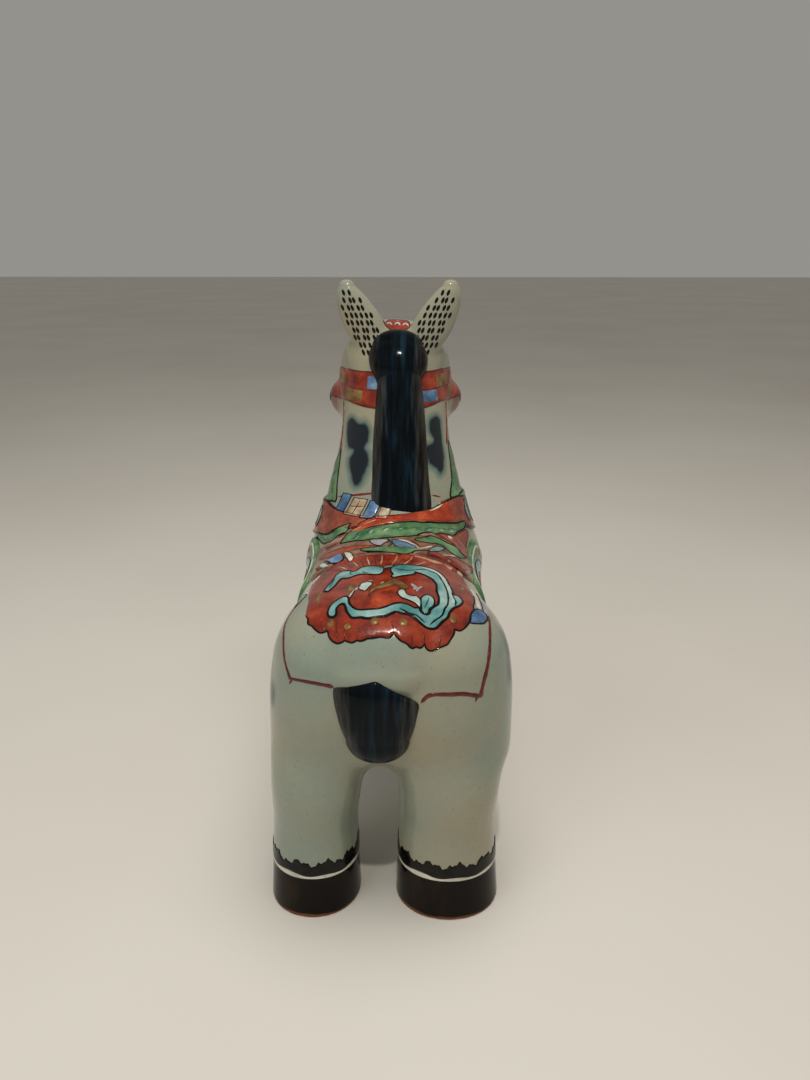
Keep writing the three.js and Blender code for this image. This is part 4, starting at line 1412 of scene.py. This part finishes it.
BAND_ROWS = ((137.5, 141.6), (142.1, 146.7))  # the foot and top of each row of checks
BAND_CHECKS = [  # colour, left, right and row
    ("gold", -36.4, -27.6, 1), ("blue", -12.8, -5.6, 1), ("gold", -27.2, -14.4, 0), ("blue", 13.2, 21, 0),
    ("gold", 21.4, 31.6, 1), ("gold", 32.4, 40, 0), ("blue", -39.6, -37.2, 1)]
TILES = [  # colour, left, width and foot
    ("blue", -18.6, 3.4, 100.2), ("cream", -14.4, 4.8, 99.4), ("blue", -8.8, 3.6, 99.2),
    ("cream", -4.6, 3.2, 99.4)]
TILE_TOP = 106.2
TILE_LEAN = 1.8
LEFT_FLARE = [(-19.6, 103), (-20.8, 109), (-22, 115), (-23.4, 120), (-23.4, 120), (-25, 117), (-30, 111),
              (-36, 104), (-40, 99), (-34, 97.6), (-27, 100.5), (-22, 102)]
RIGHT_FLARE = [(19.6, 104.6), (21.8, 110), (23.4, 116), (25, 123), (25, 123), (27.6, 119), (31, 113),
               (36, 106), (41, 99.6), (34, 98), (28, 101.6), (23, 103.6)]


def checks(low_left, low_right, high_right, high_left):
    """A four-sided outline with sharp corners."""
    return [corner for corner in (low_left, low_right, high_right, high_left) for _ in (0, 1)]


def paint_neck():
    """The checkered band below the ears, the panel's edges, the flares and the strip under the mane."""
    band, neck = (Brush(region, nape_chart) for region in ("band", "neck"))
    for side, inner in ((-1, 5), (1, 11)):
        half = [(inner, 136.6), (24, 137.2), (42, 136), (42, 145.6), (30, 148), (20, 148), (inner, 146.8)]
        band.shape("red", mirrored(half, side), "maroon", 0.7, 0.16)
    for colour, left, right, row in BAND_CHECKS:
        low, high = BAND_ROWS[row]
        box = checks((left, low), (right, low), (right, high), (left, high))
        band.shape(colour, box, thick=0.12, lift=0.13, rim=0.3)
    band.line("maroon", [(-41, 141.8), (-24, 142), (-6, 141.8)], 0.35, 0.1, 0.14)
    band.line("maroon", [(11, 141.8), (24, 142), (41, 141.8)], 0.35, 0.1, 0.14)
    neck.shape("green", LEFT_FLARE, "ink", 0.7)
    neck.shape("green", RIGHT_FLARE, "ink", 0.7)
    neck.line("teal", [(-24, 112), (-29, 107), (-34, 102)], 0.9, 0.08, 0.16)
    neck.line("teal", [(25.6, 115), (30, 109), (36, 102)], 0.9, 0.08, 0.16)
    for side, foot in ((-1, 120), (1, 123)):
        path = [(side * 23.4, foot - 1), (side * 26.2, 128), (side * 29.2, 136)]
        neck.line("maroon", path, 0.9, 0.16, taper=0.8)
        neck.line("brick", [(side * (u * side + 1.2), v) for u, v in path], 1, 0.12, taper=0.8)
    neck.line("red", [(-18.8, 104.4), (-14, 105.8), (-10, 106.8), (-6, 107.6)], 0.8)
    for colour, left, across, foot in TILES:
        right, top = left + across, min(TILE_TOP, foot + 6)
        box = checks((left, foot), (right, foot), (right + TILE_LEAN, top), (left + TILE_LEAN, top))
        neck.shape(colour, box, "maroon" if colour == "cream" else "ink", 0.3, rim=0.3)
    neck.line("maroon", [(-13.6, 102.4), (-8.6, 103)], 0.35, 0.1, 0.16)
    neck.line("maroon", [(-12, 99.8), (-10.2, 105)], 0.35, 0.1, 0.16)
    neck.line("red", [(12.6, 106.4), (15.6, 105.2)], 0.7)
    neck.line("white", [(5, 99.6), (9, 100.4), (13, 101.8), (16, 103.6)], 1)


COLLAR_LOW = [(-180, 5), (-150, 5), (-120, 6), (-95, 6), (-75, 8), (-65, 9), (-54, 11), (-44, 14),
              (-31, 17.5), (-15, 19), (0, 21), (20, 22.4), (33, 20.6), (45, 18.6), (60, 18), (68, 17),
              (90, 11), (120, 7), (150, 5)]
COLLAR_HIGH = [(-180, 21), (-150, 24), (-120, 29), (-109, 33.5), (-95, 35), (-80, 34.6), (-64, 31.6),
               (-56, 30), (-39, 30), (-25, 29), (-5, 31), (8, 32), (25, 33.5), (41, 34.6), (56, 38.7),
               (67, 38.6), (95, 41), (109, 38), (122, 33), (150, 24)]
SWASH = [
    (-20, -5.4), (-16.4, -2), (-13.2, 0.2), (-9.6, 1.6), (-5.9, 2.3), (-2.1, 2.3), (0.5, 2.4), (2.7, 2.8),
    (5.1, 3.5), (7.5, 4.5), (9.7, 5.8), (11.8, 7.2), (13.6, 9.4), (14.6, 12.2), (19.6, 11.4), (19.2, 8),
    (16.7, 5.4), (14.4, 4), (12, 2.9), (10, 1.9), (7.4, 1.2), (5, 0.6), (2.6, 0.1), (0, -0.6),
    (-2.2, -1.2), (-5, -1.7), (-7.8, -2.1), (-9.9, -2.6), (-12, -3.6), (-14, -4.4), (-16, -6)]
SWASH_TOP = slice(0, 8)


def collar_low(u):
    """The collar's lower edge at each u."""
    return edge_at(u, COLLAR_LOW)


def collar_high(u):
    """Its upper edge."""
    return edge_at(u, COLLAR_HIGH)


def along(share, first, last, step=6):
    """Points on the collar a share of the way up it, from one azimuth to another."""
    u = np.arange(first, last + 0.1, step)
    low, high = collar_low(u), collar_high(u)
    return np.stack([u, low + (high - low) * share], 1)


def paint_collar():
    """The collar's bright swash behind, its dark edges, and leaves and dots round its sides and chest."""
    cloth, swash = (Brush("collar", chart) for chart in (collar_chart, back_chart))
    swash.shape("orange", SWASH, thick=0.14)
    swash.line("ink", SWASH[SWASH_TOP], 0.45, 0.18)
    swash.line("cream", [(-15, -2.4), (-11, -0.6), (-6, 0.8)], 0.5, 0.08, 0.13)
    cloth.line("ink", along(0.97, -176, 176), 1.3, 0.2, taper=0)
    cloth.line("ink", along(0.03, 72, 290), 1.3, 0.2, taper=0)
    for u in range(84, 277, 16):
        low, high = (float(edge(np.array([u]))[0]) for edge in (collar_low, collar_high))
        v, tall = (low + high) / 2, (high - low) * 0.3
        leaf = [(u, v + tall), (u + 3.4, v + tall * 0.2), (u + 2.6, v - tall * 0.7), (u, v - tall),
                (u - 2.6, v - tall * 0.7), (u - 3.4, v + tall * 0.2)]
        cloth.shape("turquoise" if u % 32 else "green", leaf, "ink", 0.9, 0.18, 0, 0.9)
        cloth.shape("gold", oval(u + 8, v, 2, 2.4), thick=0.16, rim=0.7)


# ---- legs, ears and head

SOLES = {"hind_left": (-20.2, -65.5), "hind_right": (18.6, -65.5), "fore_left": (-19.7, 34),
         "fore_right": (18.7, 34)}
LEG_TURN = 2 * math.pi * LEG_RADIUS
FRINGE_HEIGHT = 17.6
TEETH = ((0.34, 0.4, 1.5), (0.9, 1.1, 1.0), (2.1, 0.3, 0.45))  # the fringe's peaks: pace, start and reach
WHITE_LINE = (13.7, 15.2)  # its foot and top
FRINGE_FOOT = 14.6
FRONT_RISE = 1.2  # how much higher the fringe is in front
WAVE_REACH, WAVE_PACE = 0.22, 0.6
THIN_PLACE = -9  # u of the middle of a thinner stretch, which is about twice THIN_REACH wide
THIN_REACH, THIN_RISE = 4, 0.7


def whole(pace):
    """The nearest pace that gives whole waves round a leg."""
    return round(pace * LEG_RADIUS) / LEG_RADIUS


def fringe_top(u):
    """The jagged top of the dark fringe over a hoof, which is higher in front."""
    height = FRINGE_HEIGHT + 0 * u
    for pace, start, reach in TEETH:
        height += reach * np.abs(np.sin(whole(pace) * u + start)) ** 2.5
    return height + FRONT_RISE * (u / LEG_TURN * 2) ** 2


def fringe_foot(u):
    """Its lower edge, just over the white line, with one thin place behind."""
    wave = WAVE_REACH * np.sin(whole(WAVE_PACE) * u)
    return FRINGE_FOOT + wave + THIN_RISE * np.exp(-((u - THIN_PLACE) / THIN_REACH) ** 2)


def paint_legs():
    """A white line over each hoof and a dark ragged fringe over that."""
    for name, (x, y) in SOLES.items():
        brush = Brush(f"{name}_hair", leg_chart(x, y))
        foot, top = (lambda u, level=level: level + 0 * u for level in WHITE_LINE)
        PAINTER.ring(brush.sheet("white"), brush.chart, foot, top, LEG_TURN, 0.14)
        PAINTER.ring(brush.sheet("ink"), brush.chart, fringe_foot, fringe_top, LEG_TURN, 0.2, 0.04, 320)


DASH_PITCH = 1.8
DASH_LENGTH = 2.1
DASH_ROWS = np.arange(153.6, 175, 2.6)
BARE_EDGE = 0.9  # the rim of an ear that has no dashes
DASH_SHARE = 0.9  # how much of the width within it they take up


def paint_ears():
    """Staggered rows of dark dashes up the back of each ear."""
    axis = np.array(EAR)
    for side, word in SIDES:
        brush = Brush(f"{word}_ear", ear_chart)
        for row, v in enumerate(DASH_ROWS):
            middle, tip_middle, half = (np.interp(v + ahead, axis[:, 2], axis[:, column])
                                        for ahead, column in ((0, 0), (2, 0), (DASH_LENGTH + 0.1, 3)))
            count = int((half - BARE_EDGE) * 2 * DASH_SHARE / DASH_PITCH)
            for place in range(count):
                u = middle * side + 0.4 + (place - count / 2 + 0.25 + row % 2 / 2) * DASH_PITCH
                u += 0.25 * math.sin(7 * row + 3 * place)
                tip = (u + (tip_middle - middle) * side * 1.1, v + DASH_LENGTH)
                brush.line("ink", [(u, v), tip], 1.1, 0.12, taper=0.6)


EYE_WHITE = [(-4.4, -0.6), (-2.4, 1.9), (0.4, 2.7), (3, 1.8), (4.6, -0.2), (2.8, -1.8), (0, -2.4),
             (-2.8, -1.9)]
POLL_STRIP = [(2.8, -4.4), (1.2, -6.6), (-1.4, -7.2), (-4, -6.6), (-5.6, -4.4), (-4.9, 0), (-3.8, 0.4),
              (-1.4, 0.4), (1, 0.4), (2.1, 0)]
STRAP = 2.6  # a bridle strap's width


def strap(chart, path):
    """A bridle strap: a red band with a dark line down each edge."""
    brush = Brush("bridle", chart)
    PAINTER.stroke(brush.sheet("red"), chart, path, STRAP, 0.2, taper=0, section=SLAB)
    flat = curve(path, False)
    for way in (-1, 1):
        edge = flat + across_of(flat, False) * way * STRAP / 2
        brush.line("maroon", edge[::4], 0.45, 0.24, taper=0.5)


def rosette(chart, u, v, size=1.0):
    """Six turquoise petals round a gold boss."""
    brush = Brush("bridle", chart)
    reach = 2.5 * size
    for turn in range(0, TURN, 60):
        a = math.radians(turn)
        place = (u + reach * math.sin(a), v + reach * math.cos(a))
        petal = oval(*place, 1.2 * size, 1.5 * size, -turn)
        brush.shape("turquoise", petal, "ink", 0.35, 0.2, 0.18)
    brush.shape("gold", oval(u, v, 1.3 * size), thick=0.34, lift=0.18)


def paint_head():
    """Eyes, nostrils, mouth, bridle and the strip between the ears."""
    nose = lump_chart((FACE, 66, 112), (0, 1, 0.35), 14)
    front = lump_chart((FACE, 58, 128), (0, 0.86, 0.5), 16)
    strap(nose, [(u, 1 - u**2 * 0.004) for u in range(-32, 33, 8)])
    strap(front, [(u, 8.6 - u**2 * 0.006) for u in range(-24, 25, 6)])
    for side, word in SIDES:
        eye = Brush(f"{word}_eye", lump_chart(sided(EYE[0], side), (side * 0.93, 0.34, 0.06), 7.6))
        eye.shape("white", EYE_WHITE, "ink", 0.8, 0.2)
        eye.shape("ink", oval(0.2, 0.2, 1.7), thick=0.2, lift=0.17)
        eye.line("ink", [(-5.2, 1), (-2.6, 3.7), (0.6, 4.6), (4, 3.2), (5.6, 1)], 0.9)
        nostril = Brush("muzzle", lump_chart(sided(NOSE[0], side), (side * 0.25, 0.95, 0.1), 4.6))
        nostril.line("maroon", [(side * -1.8, 3), (side * 0.6, 3.9), (side * 3.2, 2.6)], 0.9)
        cheek = lump_chart((FACE, 60, 122), (side, 0, 0), 16)
        strap(cheek, [(-11 * side, 14), (-6.4 * side, 6), (-2 * side, -2), (3 * side, -9)])
        rosette(cheek, 3.4 * side, -9.6, 0.8)
        rosette(cheek, -11.2 * side, 14.6, 0.8)
    rosette(front, 0, 12.6, 1.2)
    poll = Brush("poll", lump_chart((FACE, 45, 150), (0, -0.3, 0.95), 15))
    poll.shape("red", POLL_STRIP, "maroon", 0.6)
    for u in (-4.2, -1.4, 1.4):
        poll.line("pale", [(u - 1, -4.6), (u, -2.6), (u + 1.1, -4.4)], 0.7, 0.08, 0.17)
    mouth = Brush("muzzle", lump_chart((FACE, 72, 97), (0, 1, 0), 12))
    mouth.line("maroon", [(-11, -0.6), (-6, -1.1), (0, -1.3), (6, -1.1), (11, -0.6)], 1, 0.1)


# ---------------------------------------------------------------- putting it together

CELL = 1.0  # the body's grid
BLUE_CELL = 0.8  # the grid of the tail, mane and topknot
LEFT_CLOUD = [(-21, 130.5), (-18.5, 131.4), (-15, 130.3), (-12, 130.6), (-9.8, 128.5), (-10, 125),
              (-11, 122.5), (-9.3, 120.5), (-8.6, 117.5), (-10, 114), (-11.5, 110.6), (-13, 109.8),
              (-14.6, 112.5), (-16.2, 115), (-16.6, 118), (-15.5, 120.8), (-18.4, 121.6), (-19.8, 124),
              (-21, 127.5)]
RIGHT_CLOUD = [(15.7, 131), (18.3, 132.2), (20.6, 130.8), (20.8, 127), (20.2, 123.5), (19.9, 119),
               (18.8, 115), (16.8, 112.8), (15.5, 115), (13.3, 117), (12.4, 119.4), (13, 122.6),
               (15.7, 123.6), (16.4, 125), (14.9, 128)]
SPOTS = [  # chart, u, v and radius of each round cloud
    (nape_chart, 52, 108, 4.4), (nape_chart, -54, 112, 4), (rump_chart, 37, 17, 6),
    (rump_chart, 38, 27, 5), (rump_chart, -38, 30, 3.6), (rump_chart, -36, 44, 3.2),
    (back_chart, 58, -40, 5), (back_chart, 61, -47, 4), (back_chart, -60, -38, 5),
    (back_chart, 68, 32, 4.4), (back_chart, -66, 34, 4)]
LID_RADIUS = 9.4
NO_CLOUD = -5.0
PANEL = ((100, 140), 45)  # the neck's clouds lie between two heights and behind a y


def clouds_at(points, spots):
    """How deep in a navy cloud each point is, in millimetres, and negative outside."""
    depth = np.full(len(points), NO_CLOUD)
    for centre, radius in spots:
        depth = np.maximum(depth, radius - np.linalg.norm(points - centre, axis=1))
    (low, high), front = PANEL
    neck = (points[:, 2] > low) & (points[:, 2] < high) & (points[:, 1] < front)
    x, y, z = points[neck].T
    around = np.arctan2(x - NAPE_X, NAPE_FOOT[0] + (z - NAPE_FOOT[1]) * NAPE_LEAN - y)
    flat = np.stack([NAPE_RADIUS * around, z], 1)
    for outline in (LEFT_CLOUD, RIGHT_CLOUD):
        depth[neck] = np.maximum(depth[neck], depth_in(flat, curve(outline, True)))
    return depth


def lids_at(points):
    """How near each point is to the middle of an eye bulge."""
    eyes = [np.array(sided(EYE[0], side)) for side, _ in SIDES]
    away = np.min([np.linalg.norm(points - eye, axis=1) for eye in eyes], 0)
    return np.clip((LID_RADIUS - away) / 2, -1, 1)


def build_body():
    """Nets the whole body, parts it along the potter's joints and returns its skin."""
    points, quads = skin_of(body_field, (-40, -88, -2.5), (40, 92, 184), CELL)
    points, normals = settled(body_field, points)
    data = np.hstack([points, normals, member_scores(points)])
    data, triangles, names = part_body(data, halves(quads))
    points = data[:, PLACE]
    normals = data[:, NORMAL] / np.linalg.norm(data[:, NORMAL], axis=1, keepdims=True)
    skin = Skin(points, normals, triangles)
    spots = []
    for chart, u, v, radius in SPOTS:
        places, _ = skin.meet(*chart(np.array([(u, v)], float)))
        spots.append((places[0], radius))
    for name in sorted(set(names)):
        used, inverse = np.unique(triangles[names == name], return_inverse=True)
        spread, faces, facing = capped(points[used], inverse.reshape(-1, 3), normals[used])
        material, slot, paint = HOOF, HOOF_SLOT, {}
        if not name.endswith("hoof"):
            material, slot = CELADON, CELADON_SLOT
            paint = {"cloud": clouds_at(spread, spots), "lid": lids_at(spread)}
        thing = make_object(f"{name}_skin", spread, faces, material, facing, paint)
        place_piece(f"{name}_skin", thing, slot, name)
    return skin


def build_blue(name, field, low, high, axis):
    """One cobalt piece. axis holds the middle x and the half width at each z."""
    points, quads = skin_of(field, low, high, BLUE_CELL)
    points, normals = settled(field, points)
    z, middle, wide = np.array(axis, float).T
    edge = np.abs(points[:, 0] - np.interp(points[:, 2], z, middle)) / np.interp(points[:, 2], z, wide)
    thing = make_object(f"{name}_skin", points, halves(quads), COBALT, normals, {"edge": edge})
    place_piece(f"{name}_skin", thing, COBALT_SLOT, name)


def slab_layer(outline, thick, rim):
    """A rule for how far a slab drawn on the back chart lifts what lies on it."""
    loop = curve(outline, True)
    return lambda places: dome(depth_in(on_back(places), loop), thick, rim)


def collar_layer(places):
    """How far the collar lifts what lies on it."""
    u, v = on_collar(places).T
    depth = np.minimum(v - collar_low(u), collar_high(u) - v)
    return dome(depth * COLLAR_DEGREE, COLLAR_THICK, COLLAR_THICK)


def build_cloth():
    """The slabs of clay cloth: seat, arches, flaps and collar."""
    seat = Sheet("seat_slab", *ENAMELS["dun"])
    PAINTER.fill(seat, back_chart, SEAT, SEAT_THICK, SEAT_RIM)
    seat.finish("saddle_seat")
    flaps = []
    for side, word in SIDES:
        flap = Sheet(f"{word}_flap_slab", *ENAMELS["green"])
        outline = mirrored(FLAP, side)
        PAINTER.fill(flap, back_chart, outline, FLAP_THICK, FLAP_RIM)
        flap.finish(f"{word}_saddle_flap")
        flaps.append(slab_layer(outline, FLAP_THICK, FLAP_RIM))
    collar = Sheet("collar_slab", *ENAMELS["brick"])
    PAINTER.ring(collar, collar_chart, collar_low, collar_high, TURN, COLLAR_THICK)
    collar.finish("collar_cloth")
    PAINTER.layers += [slab_layer(SEAT, SEAT_THICK, SEAT_RIM), *flaps, collar_layer]
    for name, v, width in ARCHES:
        arch = Sheet(f"{name}_ridge", *ENAMELS["dun"])
        path = [(u, v) for u in (-ARCH_REACH, -12, 0, 12, ARCH_REACH)]
        PAINTER.stroke(arch, back_chart, path, width, ARCH_HEIGHT, taper=ARCH_TAPER, section=ARCH)
        arch.finish(name)
        PAINTER.layers.append(arch_layer(v, width))


def arch_layer(v, width):
    """The same rule for an arch, which stands on the seat."""
    base = PAINTER.layers[0]

    def lift(places):
        flat = on_back(places)
        across = np.clip(np.abs(flat[:, 1] - v) / (width / 2), 0, 1)
        inward = np.clip((ARCH_REACH - np.abs(flat[:, 0])) / ARCH_TAPER, 0, 1)
        height = ARCH_HEIGHT * np.sqrt(1 - across**2) * np.sqrt(inward)
        return base(places) + height * (across < 1)

    return lift


PAINTER = Painter(build_body())
build_blue("tail", tail_field, (-18, -88, 54), (16, -62, 98),
           [(56, -1.5, 5), (62, -1.5, 8.6), (69, -1.5, 11), (80, -1.5, 12.6)])
build_blue("mane_ridge", Limb(MANE, (4, 4), 2.2), (-10, 0, 90), (18, 38, 160),
           [(96, 1.6, 11), (101, 1.6, 12.4), (125, 1.7, 9.6), (150, 1.3, 7.6)])
build_blue("topknot", Limb(TOPKNOT, (5, 6.4), 2.0), (-14, 14, 135), (16, 46, 172),
           [(140, 1, 9), (158, 0.7, 12), (168, 0.5, 12)])
build_cloth()
for paint_region in (paint_rump, paint_seat, paint_flaps, paint_neck, paint_collar, paint_legs,
                     paint_ears, paint_head):
    paint_region()
for one in SHEETS.values():
    one.finish()

add_camera()
add_floor(pale_floor())
add_softbox("sky", (60, -60, 760), (0, -10, 60), 420, 2.9, (1, 0.98, 0.95), False)
add_softbox("room", (-420, -520, 360), (0, -30, 70), 420, 1.0, (0.94, 0.97, 1), False)
add_softbox("lamp", (28, -330, 620), (0, -10, 70), 16, 1.1, (1, 0.94, 0.85), True)
add_surroundings(tone(196, 193, 186), 0.54)
bpy.context.scene.view_settings.view_transform = "Standard"
